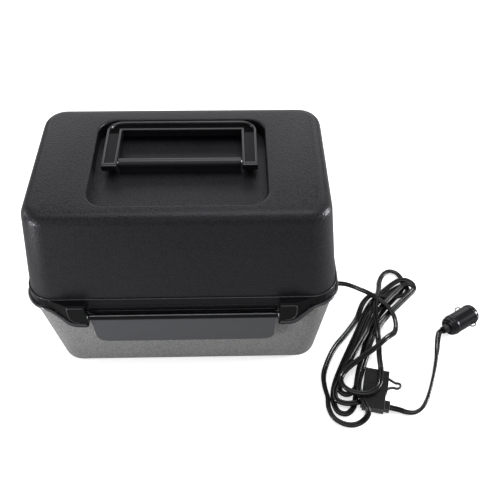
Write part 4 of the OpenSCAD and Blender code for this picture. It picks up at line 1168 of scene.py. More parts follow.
@dataclass
class LeadSet:
    """The lead with its hank, and the stretch between fuse holder and plug."""

    finishes: Finishes
    section: TwinLead = field(default_factory=TwinLead)

    OUT: tuple[Point, ...] = (
        (0.148, 0, 0.0285), (0.153, 0, 0.0285), (0.16, 0, 0.027), (0.167, -0.0002, 0.0238),
        (0.174, -0.0005, 0.0198), (0.181, -0.001, 0.016), (0.188, -0.003, 0.0128), (0.194, -0.007, 0.011),
        (0.2, -0.013, 0.0108), (0.2045, -0.0205, 0.0108), (0.208, -0.029, 0.0086), (0.209, -0.037, 0.005),
        (0.2065, -0.0445, 0.0044), (0.2015, -0.0505, 0.008), (0.195, -0.0565, 0.0108),
        (0.1845, -0.066, 0.0108), (0.173, -0.0745, 0.0108), (0.161, -0.0835, 0.0108), (0.15, -0.093, 0.0108),
        (0.1445, -0.101, 0.0108), (0.1452, -0.109, 0.011), (0.152, -0.1158, 0.0116), (0.162, -0.119, 0.0124),
        (0.172, -0.1174, 0.0124), (0.1794, -0.11, 0.0124), (0.1824, -0.1, 0.0124), (0.1839, -0.0914, 0.012),
        (0.1848, -0.085, 0.0092), (0.1856, -0.079, 0.0066), (0.1863, -0.074, 0.0048),
        (0.18686, -0.06896, 0.0044), (0.1875, -0.064, 0.0044),
    )
    UP_TO_LOOP: tuple[Point, ...] = (
        (0.1878, -0.0565, 0.0062), (0.188, -0.047, 0.01), (0.1885, -0.032, 0.0102), (0.1903, -0.016, 0.0102),
        (0.1945, -0.002, 0.0102), (0.198, 0.01, 0.0072), (0.2012, 0.0225, 0.0026), (0.2065, 0.0325, 0.0015),
        (0.2142, 0.0383, 0.0015), (0.2215, 0.0358, 0.0015), (0.2258, 0.028, 0.0015), (0.2262, 0.0185, 0.0015),
        (0.222, 0.0095, 0.0015),
    )
    DOWN_LOW: tuple[Point, ...] = (
        (0.212, -0.0015, 0.0015), (0.2, -0.0145, 0.0015), (0.189, -0.029, 0.0015), (0.1805, -0.044, 0.0015),
        (0.174, -0.06, 0.0015), (0.1685, -0.076, 0.0015), (0.1635, -0.091, 0.0015), (0.16, -0.105, 0.0015),
        (0.1575, -0.118, 0.0015), (0.1535, -0.1285, 0.0015), (0.147, -0.134, 0.0015), (0.14, -0.132, 0.0015),
        (0.1366, -0.124, 0.0015), (0.1368, -0.113, 0.0015),
    )
    UP_OUTER: tuple[Point, ...] = (
        (0.14, -0.101, 0.0015), (0.1475, -0.084, 0.0015), (0.158, -0.063, 0.0015), (0.169, -0.0415, 0.0015),
        (0.1785, -0.0215, 0.0015), (0.1895, -0.004, 0.0015), (0.202, 0.0085, 0.0015), (0.213, 0.0175, 0.003),
        (0.223, 0.023, 0.0044), (0.2315, 0.0225, 0.0044), (0.2365, 0.0165, 0.0044), (0.235, 0.0085, 0.0044),
        (0.228, 0.0015, 0.0044),
    )
    DOWN_MIDDLE: tuple[Point, ...] = (
        (0.2165, -0.01, 0.0044), (0.2045, -0.022, 0.0044), (0.1935, -0.035, 0.0044), (0.184, -0.049, 0.0044),
        (0.1775, -0.063, 0.0044), (0.172, -0.077, 0.0044), (0.1665, -0.091, 0.0044), (0.162, -0.102, 0.0044),
        (0.156, -0.1115, 0.0044), (0.1495, -0.1155, 0.0044), (0.1438, -0.1125, 0.0044),
        (0.143, -0.104, 0.0044),
    )
    UP_MIDDLE: tuple[Point, ...] = (
        (0.147, -0.095, 0.0044), (0.1535, -0.0825, 0.0044), (0.1635, -0.0635, 0.0044),
        (0.173, -0.0435, 0.0044), (0.1825, -0.025, 0.0044), (0.193, -0.009, 0.0044), (0.205, 0.0025, 0.0044),
        (0.217, 0.0115, 0.0044), (0.225, 0.0145, 0.0044), (0.2295, 0.011, 0.0044), (0.227, 0.005, 0.0044),
        (0.2185, 0.001, 0.0044),
    )
    FAR_LEFT: tuple[Point, ...] = (
        (0.21, -0.001, 0.0046), (0.2005, -0.0008, 0.0073), (0.188, 0.0002, 0.0073), (0.1795, -0.0068, 0.004),
        (0.1704, -0.0259, 0.0015), (0.1569, -0.0445, 0.0015), (0.1441, -0.0604, 0.0015),
        (0.1348, -0.0779, 0.0015), (0.1296, -0.0929, 0.0015), (0.1294, -0.105, 0.0015),
        (0.1312, -0.117, 0.0015), (0.131, -0.1275, 0.0015), (0.1345, -0.1375, 0.0015),
        (0.142, -0.1435, 0.0015), (0.151, -0.1455, 0.0015), (0.16, -0.143, 0.003), (0.1655, -0.1385, 0.0075),
        (0.165, -0.133, 0.0106), (0.1625, -0.1255, 0.0106), (0.1605, -0.118, 0.0092),
    )
    UP_TOP: tuple[Point, ...] = (
        (0.1608, -0.109, 0.0076), (0.1635, -0.0975, 0.0073), (0.168, -0.085, 0.0073),
        (0.173, -0.0735, 0.0073), (0.1785, -0.06, 0.0073), (0.186, -0.0445, 0.0073), (0.196, -0.031, 0.0073),
        (0.208, -0.0185, 0.0073), (0.22, -0.007, 0.0073), (0.231, 0.0035, 0.0073), (0.2358, 0.0095, 0.0073),
        (0.233, 0.0145, 0.0073), (0.226, 0.0142, 0.0073),
    )
    DOWN_TO_FUSE: tuple[Point, ...] = (
        (0.217, 0.0068, 0.0073), (0.206, -0.0045, 0.0073), (0.1955, -0.017, 0.0073), (0.186, -0.0305, 0.0073),
        (0.1772, -0.0455, 0.0073), (0.168, -0.0605, 0.0073), (0.158, -0.0765, 0.0073),
        (0.149, -0.0925, 0.0073), (0.142, -0.104, 0.0073), (0.138, -0.1125, 0.006), (0.1386, -0.1202, 0.0044),
        (0.145, -0.1242, 0.0044), (0.153, -0.1247, 0.0043), (0.1614, -0.1231, 0.0043),
    )
    TAIL: tuple[Point, ...] = (
        (0.1873, -0.1296, 0.0043), (0.1912, -0.1306, 0.0039), (0.197, -0.1316, 0.0028),
        (0.2025, -0.1334, 0.0019), (0.21, -0.1344, 0.0019), (0.2175, -0.1305, 0.0019),
        (0.224, -0.122, 0.0019), (0.229, -0.112, 0.0019), (0.2336, -0.101, 0.0019), (0.2382, -0.089, 0.0019),
        (0.242, -0.078, 0.0022), (0.2447, -0.0685, 0.0034), (0.2464, -0.061, 0.0058),
        (0.2477, -0.0548, 0.0086), (0.2496, -0.05025, 0.0103), (0.25303, -0.04816, 0.0103),
    )

    # Shares of the length, each with the lead's twist there in degrees.
    LEAD_TWISTS: Outline = (
        (0.02, 0), (0.06, 35), (0.11, 15), (0.15, -12), (0.2, 40), (0.24, 10), (0.4, -10), (0.6, 12),
        (0.66, -25), (0.7, 8), (0.75, 40), (0.78, 5), (0.9, -8), (1.0, 0),
    )
    TAIL_TWISTS: Outline = ((0.06, 0), (0.3, 70), (0.5, 90), (0.74, 110), (0.86, 165), (1.0, 180))

    def lead(self) -> LeadRun:
        """Give the stretch from the box through the hank to the fuse holder."""
        route = (
            *self.OUT, *self.UP_TO_LOOP, *self.DOWN_LOW, *self.UP_OUTER, *self.DOWN_MIDDLE, *self.UP_MIDDLE,
            *self.FAR_LEFT, *self.UP_TOP, *self.DOWN_TO_FUSE,
        )
        return LeadRun("lead_with_hank", route, self.section, self.LEAD_TWISTS)

    def tail(self) -> LeadRun:
        """Give the stretch from the fuse holder to the plug."""
        return LeadRun("lead_tail", self.TAIL, self.section, self.TAIL_TWISTS)

    def build(self, fuse_pieces: Sequence[Piece], plug_pieces: Sequence[Piece]) -> None:
        """Args:
            fuse_pieces: Pieces of the fuse holder; not used.
            plug_pieces: Pieces of the plug; not used.
        """
        for run, far_end, pieces, nodes in (
            (self.lead(), "fitting", fuse_pieces, ("cord_lead", "cord_hank")),
            (self.tail(), "plug", plug_pieces, ("cord_tail",)),
        ):
            piece = run.build()
            self.finishes.dress(piece, "lead_pvc")
            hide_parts(*nodes)
            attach(piece, Body.BASE.value)
            round(run.length, 3)
            LOG.info("%s: %.3f m", run.name, run.length)


# ---------------------------------------------------------------- sub-assemblies


@dataclass
class SubAssembly:
    """What every group of pieces shares: its finishes and what it has made."""

    finishes: Finishes
    made: list[Piece] = field(default_factory=list, kw_only=True)

    def keep(self, node: str, finish: str, angle: float = PLAIN, rounding: float = 0.0) -> Piece:
        """Refine the copy of a node, round its edges and dress it.

        Args:
            node: Node of the frame.
            finish: Name of the finish.
            angle: Angle below which the piece is smooth, in degrees.
            rounding: Width of the rounding of its sharp edges, or 0.

        Returns:
            The finished piece.
        """
        piece = Bench.refined(node, angle)
        if rounding:
            Bench.round_edges(piece, lambda a, b, turn: turn > CREASE, rounding, steps=2)
            Bench.smooth(piece, angle)
        return self.dress(piece, node, finish)

    def dress(self, piece: Piece, node: str, finish: str) -> Piece:
        """Give a piece its finish, and let it ride on its node's body.

        Args:
            piece: The piece.
            node: Node of the frame that it stands for.
            finish: Name of the finish.

        Returns:
            The same piece.
        """
        bodies = frame["record"]["behaviour"]["bodies"]
        return self.attach(piece, Body(next(name for name, nodes in bodies.items() if node in nodes)), finish)

    def attach(self, piece: Piece, body: Body, finish: str) -> Piece:
        """Give a piece its finish, and let it ride on a body.

        Args:
            piece: The piece.
            body: The body that carries it.
            finish: Name of the finish.

        Returns:
            The same piece.
        """
        self.finishes.dress(piece, finish)
        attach(piece, body.value)
        self.made.append(piece)
        LOG.info("%s: %d faces, %s", piece.name, len(piece.data.polygons), finish)
        return piece


@dataclass
class Lid(SubAssembly):
    """The drafted lid with its lip, ears, sunk field, wool, hood and seal.

    Swoop, hem, pad line and the painted shade sheet are in millimetres; the rest is in metres.
    """

    seam: float = 98.4 * MM
    lip_top: float = 111.9 * MM
    top: float = 198.0 * MM
    field_half: tuple[float, float] = (73.0 * MM, 57.0 * MM)
    wall_back: float = 3.4 * MM
    foot_reach: float = 9.0 * MM
    ear_start: float = 82.5 * MM
    field_floor: float = 184.6 * MM
    mouth_rounding: float = 1.4 * MM
    mouth_band: float = 6.0 * MM
    lip_rounding: float = 0.5 * MM
    bead_half: tuple[float, float] = (135.9 * MM, 83.9 * MM)
    bead_corner: float = 24.9 * MM
    bead_level: float = 101.0 * MM
    bead_radius: float = 1.3 * MM
    hem_radius: float = 0.78 * MM
    swoop: tuple[Point, ...] = (
        (116.0, -84.2, 101.0), (111.5, -85.4, 99.6), (107.0, -87.0, 96.6), (103.0, -88.4, 93.4),
        (99.5, -89.5, 90.5), (96.0, -89.8, 88.4), (91.5, -89.8, 87.2), (84.3, -89.8, 86.8),
    )
    hem: tuple[Point, ...] = (
        (113.5, -84.6, 97.9), (110.0, -85.9, 96.0), (106.0, -87.3, 92.8), (102.0, -88.7, 89.2),
        (98.5, -89.6, 86.3), (95.0, -89.8, 84.6), (90.5, -89.8, 83.8), (84.3, -89.8, 83.6),
    )
    pad_line: tuple[Point, ...] = (
        (84.2, -90.5, 109.8), (90.0, -90.5, 109.8), (96.4, -90.5, 109.7), (97.7, -90.5, 108.6),
        (97.9, -90.5, 104.0), (97.9, -90.5, 98.8), (97.2, -90.5, 95.4), (95.2, -90.5, 92.5),
        (92.4, -90.5, 90.6), (89.5, -90.5, 90.1),
    )
    lip_line_half: tuple[float, float] = (134.2 * MM, 82.25 * MM)
    lip_line_corner: float = 24.2 * MM
    line_radius: float = 0.35 * MM
    # A dark sheet in the gap above the latch, as painted shade, and the fine line under it, a painted
    # highlight.
    painted_shade_sheet: tuple[Point, Point] = ((-81.8, -84.3, 95.8), (81.8, -83.1, 98.8))
    painted_shade_sheet_rounding: float = 0.4 * MM
    painted_shade_sheet_line_rise: float = 0.3 * MM
    painted_shade_sheet_line_radius: float = 0.245 * MM
    seal_rounding: float = 0.4 * MM

    def shell(self) -> None:
        """Round the field's mouth, the lip and the ears of the shell, and dress it."""
        piece = Bench.refined("lid_shell", MOULDED)
        low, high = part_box("lid_shell")

        def mouth(a: Vector, b: Vector, turn: float) -> bool:
            """Tell whether an edge lies round the mouth of the sunk field."""
            level = min(a.z, b.z) > self.top - NEAR / 2
            return level and turn > SQUARE and max(abs(a.x), abs(b.x)) < self.field_half[0] + MM

        def foot(a: Vector, b: Vector, turn: float) -> bool:
            """Tell whether an edge lies along the foot of the lip, at the sides or the front."""
            level = max(a.z, b.z) < self.seam + NEAR and min(a.z, b.z) > self.seam - NEAR
            side = min(abs(a.x), abs(b.x)) > high.x - self.wall_back
            front = max(a.y, b.y) < low.y + self.foot_reach and min(abs(a.x), abs(b.x)) > 0.0
            return level and turn > SQUARE and (side or front)

        def pad(a: Vector, b: Vector, turn: float) -> bool:
            """Tell whether an edge lies round the front of an ear."""
            return max(a.y, b.y) < low.y + NEAR and turn > SQUARE

        Bench.round_edges(piece, mouth, self.mouth_rounding, steps=3)
        Bench.round_edges(piece, foot, self.lip_rounding, steps=2)
        Bench.round_edges(piece, pad, self.lip_rounding, steps=2)
        Bench.smooth(piece, MOULDED)
        self.dress(piece, "lid_shell", "lid_plastic")
        self._shade_shell(piece)

    def _shade_shell(self, piece: Piece) -> None:
        """Give the lip its own gloss, paint shade onto the fronts of the ears, and paint light onto the sunk
        field.

        Args:
            piece: The dressed shell.
        """
        lip, ear = self.lip_top, self.ear_start
        floor = self.field_floor + MM
        mouth_front = self.mouth_band - self.field_half[1]
        crest = self.top - self.mouth_rounding
        for finish, test in (
            ("lip_gloss", lambda at, up: at.z < lip),
            # The fronts of the ears are painted darker, with less gloss: painted shade.
            ("painted_shade_and_dark_rubber", lambda at, up: at.z < lip and up.y < -0.8 and abs(at.x) > ear),
            # The field's floor and the rounded front of its mouth get the lighter copy of the lid plastic:
            # painted light.
            ("field_painted_light", lambda at, up: floor - 2 * MM < at.z < floor and up.z > FACING),
            ("field_painted_light", lambda at, up: at.z > crest and at.y < mouth_front and 0.2 < up.y < FACING),
        ):
            self.finishes.patch(piece, finish, test)

    def _trim(self, name: str, route: Sequence[Point], radius: float, finish: str = "ridge_painted_highlight") -> None:
        """Lay a thin raised line on the lid, by default in a lighter plastic that paints a highlight.

        Args:
            name: Name of the piece.
            route: Points of its middle in metres.
            radius: Radius of the line.
            finish: Name of the finish.
        """
        self.attach(Bench.wire(name, [Vector(point) for point in route], radius), Body.LID, finish)

    @staticmethod
    def _corner(half: tuple[float, float], radius: float, level: float, end: int) -> list[Point]:
        """Give points every 9 degrees round the right front corner.

        Args:
            half: Half width and half depth of the outline.
            radius: Radius of the corner.
            level: Height.
            end: Last angle below the X axis, in degrees.

        Returns:
            The points, from the side of the lid on.
        """
        x, y = half[0] - radius, radius - half[1]
        turns = [math.radians(-angle) for angle in range(0, end + 1, 9)]
        return [(x + radius * math.cos(a), y + radius * math.sin(a), level) for a in turns]

    def beads(self) -> None:
        """Run a bead along the lip and down each ear, with a hem under it and a line round the ear's pad, in
        a lighter plastic as painted highlights.
        """
        half, level = self.bead_half, self.bead_level
        side = [(half[0], y * MM, level) for y in (56.0, 30.0, 0.0, -30.0)]
        arc = self._corner(half, self.bead_corner, level, 54)
        routes = (
            ("lip_bead", [*side, *arc, *metres(self.swoop)], self.bead_radius),
            ("ear_hem", metres(self.hem), self.hem_radius),
            ("ear_line", metres(self.pad_line), self.line_radius),
        )
        for hand, sign in (("right", 1.0), ("left", -1.0)):
            for name, route, radius in routes:
                self._trim(f"{name}_{hand}", [(x * sign, y, z) for x, y, z in route], radius)

    def gap_painted_shade(self) -> None:
        """Hang a dark sheet in the gap above the latch as painted shade, with a fine lighter line under it as
        a painted highlight.
        """
        low, high = metres(self.painted_shade_sheet)
        painted_shade_sheet = Bench.block("lip_painted_shade_sheet", low, high)
        Bench.round_edges(painted_shade_sheet, lambda a, b, turn: turn > SQUARE, self.painted_shade_sheet_rounding, steps=2)
        Bench.smooth(painted_shade_sheet, MOULDED)
        self.attach(painted_shade_sheet, Body.LID, "painted_shade_and_dark_rubber")
        place = (low[1] - NEAR / 2, self.seam + self.painted_shade_sheet_line_rise)
        edge = [(x * MM, *place) for x in (-80.0, -40.0, 0.0, 40.0, 80.0)]
        self._trim("painted_shade_sheet_line", edge, self.painted_shade_sheet_line_radius, "painted_sheen_plastic")

    def lip_line(self) -> None:
        """Run a fine line round the top of the lip, in a lighter plastic as a painted highlight."""
        half, level = self.lip_line_half, self.lip_top
        right = [(half[0], y * MM, level) for y in (50.0, 20.0, -20.0, -55.0)]
        right += self._corner(half, self.lip_line_corner, level, 90)
        front = [(x * MM, -half[1], level) for x in (109.0, 100.0, 50.0, 0.0, -50.0, -100.0, -109.0)]
        left = [(-x, y, z) for x, y, z in reversed(right)]
        self._trim("lip_line", [*right, *front, *left], self.line_radius)

    def build(self) -> None:
        """Make every piece of the lid."""
        self.shell()
        self.beads()
        self.gap_painted_shade()
        self.lip_line()
        self.keep("lid_insulation", "wool")
        self.keep("lid_liner", "lining_metal")
        self.keep("lid_seal", "silicone", rounding=self.seal_rounding)
        self.keep("lid_liner_screws", "steel")


@dataclass
class Base(SubAssembly):
    """The tapered base with its pan, wool, feet, gland and hinge pins."""

    foot_rounding: float = 0.6 * MM
    gland_rounding: float = 0.3 * MM

    def build(self) -> None:
        """Make every piece of the base."""
        self.keep("base_shell", "base_grey_and_painted_floor_light", MOULDED)
        self.keep("base_insulation", "wool")
        self.keep("base_liner", "lining_metal")
        self.keep("base_liner_screws", "steel")
        self.keep("rubber_feet", "rubber", rounding=self.foot_rounding)
        self.keep("hinge_pins", "steel")
        self.keep("cord_gland", "rubber", rounding=self.gland_rounding)


@dataclass
class Heater(SubAssembly):
    """The heater under the pan with its clamp, safety parts and wires."""

    plate_rounding: float = 0.3 * MM

    def build(self) -> None:
        """Make every piece of the heater."""
        self.keep("heater_cover", "mica")
        self.keep("heater_board", "mica")
        self.keep("heater_ribbon", "ribbon_alloy")
        self.keep("heater_clamp", "steel", rounding=self.plate_rounding)
        self.keep("heater_nuts", "steel", angle=25.0)
        self.keep("heater_terminals", "brass")
        self.keep("thermostat", "steel")
        self.keep("thermal_fuse", "ceramic")
        self.keep("terminal_block", "ceramic", rounding=self.plate_rounding)
        self.keep("inner_leads", "wire_sleeve", angle=60.0)


@dataclass
class Handle(SubAssembly):
    """The folding handle with its channels, the bar between its legs, pins and screws."""

    pivot: Point = (0.0, -1.5 * MM, 194.0 * MM)
    half_width: float = 65.5 * MM
    thickness: float = 8.0 * MM
    leg: float = 13.2 * MM
    grip: float = 12.6 * MM
    reach: float = 52.5 * MM
    heel: float = 8.0 * MM
    heel_thickness: float = 5.4 * MM
    foot_bar: float = 2.2 * MM
    corner: float = 14.0 * MM
    rim: float = 2.3 * MM
    depth: float = 1.6 * MM
    pin_radius: float = 1.65 * MM
    pin_depth: float = 9.0 * MM
    panel_gap: float = 3.0 * MM
    channel_slope: float = 0.35 * MM
    rounding: float = 1.0 * MM
    bar_rounding: float = 0.4 * MM

    def _blank(self) -> Piece:
        """Cut the plain U of the handle.

        Returns:
            The U with rounded outer corners and thin heels.
        """
        _, y, z = self.pivot
        top, low = z + self.thickness / 2, z - self.thickness / 2
        back, front = y + self.reach, y - self.heel
        piece = Bench.block("handle_shape", (-self.half_width, front, low), (self.half_width, back, top))

        def outer(a: Vector, b: Vector, turn: float) -> bool:
            """Tell whether an edge is an upright corner at the grip's back."""
            return min(a.y, b.y) > back - NEAR and abs(a.z - b.z) > self.thickness / 2

        Bench.round_edges(piece, outer, self.corner, steps=10)
        inside, outside = self.half_width - self.leg, self.half_width + MM
        for name, half, end, crown in (
            ("gap", inside, back - self.grip, top + MM),
            ("under", outside, y, top - self.heel_thickness),
        ):
            Bench.cut(piece, Bench.block(name, (-half, front - MM, low - MM), (half, end, crown)))
        return piece

    def _channel(self, piece: Piece, side: float) -> None:
        """Sink the channel in one face.

        Args:
            piece: The handle.
            side: 1 for the top face and -1 for the bottom face.
        """
        level = self.pivot[2] + side * self.thickness / 2
        with Bench.editing(piece, "FACE"):
            Bench.pick_faces(piece, lambda at, up: up.z * side > FACING and abs(at.z - level) < NEAR)
            bpy.ops.mesh.inset(thickness=self.rim, depth=0.0, use_even_offset=True)
            bpy.ops.mesh.inset(thickness=self.channel_slope, depth=-self.depth, use_even_offset=True)
        foot = self.pivot[1] - self.heel + self.rim

        def end(a: Vector, b: Vector, turn: float) -> bool:
            """Tell whether an edge belongs to the channel's end at the foot of a leg."""
            near = max(abs(a.y - foot), abs(b.y - foot)) < 0.6 * MM
            return near and max(abs(a.z - level), abs(b.z - level)) < self.depth + NEAR

        with Bench.editing(piece, "EDGE"):
            Bench.pick_edges(piece, end)
            bpy.ops.transform.translate(value=(0.0, self.foot_bar, 0.0))

    def bail(self) -> None:
        """Shape the handle, drill it for its pins and dress its channels, with painted shade on the
        crossbar's channel floor.
        """
        _, y, z = self.pivot
        piece = self._blank()
        for side in (1.0, -1.0):
            self._channel(piece, side)
        inside = self.half_width - self.leg
        for side in (1.0, -1.0):
            start, end = (side * (inside - MM), y, z), (side * (inside + self.pin_depth), y, z)
            Bench.cut(piece, Bench.rod("drill", start, end, self.pin_radius, sides=32))
        split = y + self.reach - self.grip - self.panel_gap
        with Bench.editing(piece, "FACE", "SELECT"):
            bpy.ops.mesh.bisect(plane_co=(0.0, split, 0.0), plane_no=(0.0, 1.0, 0.0))
        Bench.weld(piece)

        def sharp(a: Vector, b: Vector, turn: float) -> bool:
            """Tell whether an edge is an outer one of the handle, and not in a channel."""
            rim = min(abs(a.z - z), abs(b.z - z)) > self.thickness / 2 - NEAR
            upright = abs(a.z - b.z) > self.thickness / 2
            return turn > CREASE and (rim or upright)

        Bench.round_edges(piece, sharp, self.rounding, steps=3)
        Bench.smooth(piece, CREASE)
        Bench.even_normals(piece)
        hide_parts("handle")
        self.dress(piece, "handle", "handle_plastic")
        floor = self.thickness / 2 - self.depth

        def sunk(at: Vector) -> bool:
            """Tell whether a face lies on the floor of a channel."""
            return abs(abs(at.z - z) - floor) < 2 * NEAR

        # The floor of the crossbar's channel is painted near-black: painted shade.
        self.finishes.patch(piece, "channel_painted_shade", lambda at, up: sunk(at) and at.y > split)
        self.finishes.patch(piece, "leg_panel", lambda at, up: sunk(at) and at.y <= split)

    def build(self) -> None:
        """Make the handle and what holds it."""
        self.bail()
        self.keep("handle_pivot_bar", "painted_sheen_plastic", MOULDED, self.bar_rounding)
        self.keep("handle_pins", "steel")
        self.keep("handle_bar_screws", "steel")


@dataclass
class Latch(SubAssembly):
    """The latch that hangs over the front: rolled edge, panel, flange and hook.

    All its sizes are taken from the pin. The hook is given by its front, back, foot and top, the web by its
    front and back, and the line by its Y, its Z and its radius.
    """

    pivot: Point = (0.0, -88.0 * MM, 94.6 * MM)
    tilt: float = 6.2
    roll: float = 2.8 * MM
    half_width: float = 82.0 * MM
    height: float = 39.0 * MM
    taper: float = 0.5 * MM
    corner: float = 10.5 * MM
    sheet: float = 2.4 * MM
    front: float = 0.4 * MM
    drop: float = 3.7 * MM
    flange: float = 1.8 * MM
    flange_depth: float = 6.37 * MM
    web: tuple[float, float] = (0.2 * MM, 2.6 * MM)
    rim_band: float = 20.0 * MM
    lean: float = 0.02
    hook_half: float = 40.0 * MM
    hook: tuple[float, float, float, float] = (4.3 * MM, 8.0 * MM, -37.5 * MM, -35.1 * MM)
    bore: float = 1.45 * MM
    line: tuple[float, float, float] = (-0.75 * MM, 2.65 * MM, 0.42 * MM)
    line_half: float = 80.5 * MM
    rounding: float = 0.5 * MM
    roll_rounding: float = 0.35 * MM

    def _panel(self) -> Piece:
        """Shape the tilted panel with its flange.

        Returns:
            The panel, about the pivot.
        """
        half = self.half_width - MM
        foot = -self.drop - self.height
        back = self.sheet - self.front
        piece = Bench.block("latch_shape", (-half, -self.front, foot), (half, back, -self.drop))
        with Bench.editing(piece, "FACE"):
            Bench.pick_faces(piece, lambda at, up: up.z < -FACING)
            bpy.ops.transform.resize(value=((half - self.taper) / half, 1.0, 1.0))

        def lower(a: Vector, b: Vector, turn: float) -> bool:
            """Tell whether an edge is a lower corner of the panel."""
            return max(a.z, b.z) < foot + NEAR and abs(a.y - b.y) > self.sheet / 2

        Bench.round_edges(piece, lower, self.corner, steps=10)
        with Bench.editing(piece, "FACE"):
            Bench.pick_faces(piece, lambda at, up: up.y > FACING)
            bpy.ops.mesh.inset(thickness=self.flange, depth=0.0, use_even_offset=True)
            bpy.ops.mesh.select_all(action="DESELECT")
            edge = half - self.flange - 2 * MM

            def rim(at: Vector, up: Vector) -> bool:
                """Tell whether a face of the back belongs to the rim that becomes the flange."""
                outer = abs(at.x) > edge or at.z < foot + self.corner
                inner = abs(at.x) < 0.5 * half and at.z > foot + self.flange * 2
                return up.y > FACING and outer and not inner

            Bench.pick_faces(piece, rim)
            bpy.ops.mesh.extrude_region_move(
                TRANSFORM_OT_translate={"value": (0.0, self.flange_depth - self.sheet, 0.0)}
            )
        Bench.round_edges(piece, lambda a, b, turn: turn > CREASE, self.rounding, steps=3)
        Bench.put(piece, Matrix.Rotation(math.radians(self.tilt), 4, "X"))
        return piece

    def plate(self) -> None:
        """Join the panel, the rolled edge and the hook, and bore them for the pin."""
        piece = self._panel()
        x = self.half_width
        roll = Bench.rod("roll", (-x, 0.0, 0.0), (x, 0.0, 0.0), self.roll, sides=48)
        Bench.round_edges(roll, lambda a, b, turn: turn > SQUARE, self.roll_rounding, steps=2)
        front, back = self.web
        web = Bench.block("web", (-x + MM, front, -self.drop - MM), (x - MM, back, 0.0))
        front, back, foot, top = self.hook
        hook = Bench.block("hook", (-self.hook_half, front, foot), (self.hook_half, back, top))
        for tool in (web, roll, hook):
            Bench.cut(piece, tool, "UNION")
        Bench.cut(piece, Bench.rod("bore", (-x - MM, 0.0, 0.0), (x + MM, 0.0, 0.0), self.bore, sides=32))
        Bench.put(piece, Matrix.Translation(self.pivot))
        Bench.weld(piece)
        Bench.smooth(piece, CREASE)
        Bench.even_normals(piece)
        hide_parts("latch")
        self.dress(piece, "latch", "latch_gloss")
        self._shade(piece)

    def _shade(self, piece: Piece) -> None:
        """Give the panel's front its own finish, and paint a highlight on its rounded rim.

        Args:
            piece: The dressed latch.
        """
        flat = self.lean - math.cos(math.radians(self.tilt))
        top = self.pivot[2] - self.drop
        side = self.half_width - 2 * MM
        self.finishes.patch(piece, "latch_plastic", lambda at, up: up.y < flat and at.z < top)

        def rim(at: Vector, up: Vector) -> bool:
            """Tell whether a face is on the rounded rim of the panel's front."""
            edge = abs(at.x) > side or at.z < top - self.rim_band
            return flat <= up.y < -0.2 and at.z < top and edge

        # The rounded rim is painted light grey: painted highlight.
        self.finishes.patch(piece, "latch_painted_highlight", rim)

    def edge_line(self) -> None:
        """Lay a thin light-coloured line along the rolled edge as a painted highlight."""
        y, z, radius = self.line
        spots = (-self.line_half, -30.0 * MM, 30.0 * MM, self.line_half)
        route = [Vector((x, self.pivot[1] + y, self.pivot[2] + z)) for x in spots]
        self.attach(Bench.wire("latch_highlight_line", route, radius), Body.LATCH, "latch_painted_highlight")

    def build(self) -> None:
        """Make the latch and its pin."""
        self.plate()
        self.edge_line()
        self.keep("latch_pin_rod", "steel")


@dataclass
class FuseHolder(SubAssembly):
    """The fuse holder of the lead: body, cap, strap, fuse and contacts.

    The strap's points are in millimetres across and along the holder; the rest is in metres.
    """

    spot: Point = (176.2 * MM, -112.2 * MM, 0.0)
    turn: float = -14.0
    groove: float = 0.55 * MM
    groove_level: float = 10.15 * MM
    groove_half: float = 12.0 * MM
    grooves: tuple[float, ...] = (9.0 * MM, 12.0 * MM, 15.0 * MM, 18.0 * MM)
    rounding: float = 0.45 * MM
    cap_rounding: float = 0.27 * MM
    strap: tuple[tuple[float, float], ...] = (
        (11.0, 14.2), (13.8, 12.8), (16.3, 11.6), (18.8, 10.8), (20.8, 11.1), (22.6, 10.1), (23.0, 8.2),
        (21.7, 6.2), (19.7, 5.1), (17.9, 5.3), (15.6, 5.1), (13.4, 4.3), (11.0, 2.6),
    )
    strap_level: float = 7.4 * MM
    strap_half: tuple[float, float] = (1.1 * MM, 1.7 * MM)

    def _strap(self) -> None:
        """Bend the flat strap between cap and body."""
        route = [self._spot(across, along, self.strap_level) for across, along in metres(self.strap)]
        thin, tall = self.strap_half
        piece = Bench.wire("fuse_strap", route, thin)
        with Bench.editing(piece, "VERT", "SELECT"):
            bpy.ops.transform.resize(
                value=(1.0, 1.0, tall / thin), center_override=(0.0, 0.0, self.strap_level)
            )
        Bench.smooth(piece, SOFT)
        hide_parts("fuse_cap_tether")
        self.dress(piece, "fuse_cap_tether", "strap_grey_and_painted_light")

    def _spot(self, across: float, along: float, level: float) -> Vector:
        """Give a point by its place on the holder.

        Args:
            across: Distance across it.
            along: Distance towards the cap.
            level: Height.

        Returns:
            The point in the frame.
        """
        turn = Matrix.Rotation(math.radians(self.turn), 4, "Z")
        return Matrix.Translation(self.spot) @ turn @ Vector((across, along, level))

    def build(self) -> list[Piece]:
        """Make the fuse holder.

        Returns:
            Its pieces.
        """
        body = self.keep("fuse_holder_body", "fuse_plastic", rounding=self.rounding)
        back = (self._spot(0.0, -MM, 0.0) - self._spot(0.0, 0.0, 0.0)).normalized()
        # The end of the body that faces away from the cap is painted lighter: painted light.
        self.finishes.patch(body, "strap_grey_and_painted_light", lambda at, up: up.dot(back) > 0.8)
        cap = Bench.refined("fuse_holder_cap")
        for along in self.grooves:
            start = self._spot(-self.groove_half, along, self.groove_level)
            end = self._spot(self.groove_half, along, self.groove_level)
            Bench.cut(cap, Bench.rod("groove", start, end, self.groove, sides=24))
        Bench.round_edges(cap, lambda a, b, turn: turn > SQUARE, self.cap_rounding, steps=2)
        Bench.smooth(cap, PLAIN)
        self.dress(cap, "fuse_holder_cap", "fuse_plastic")
        self._strap()
        self.keep("blade_fuse", "fuse_amber")
        self.keep("fuse_contacts", "brass")
        return self.made


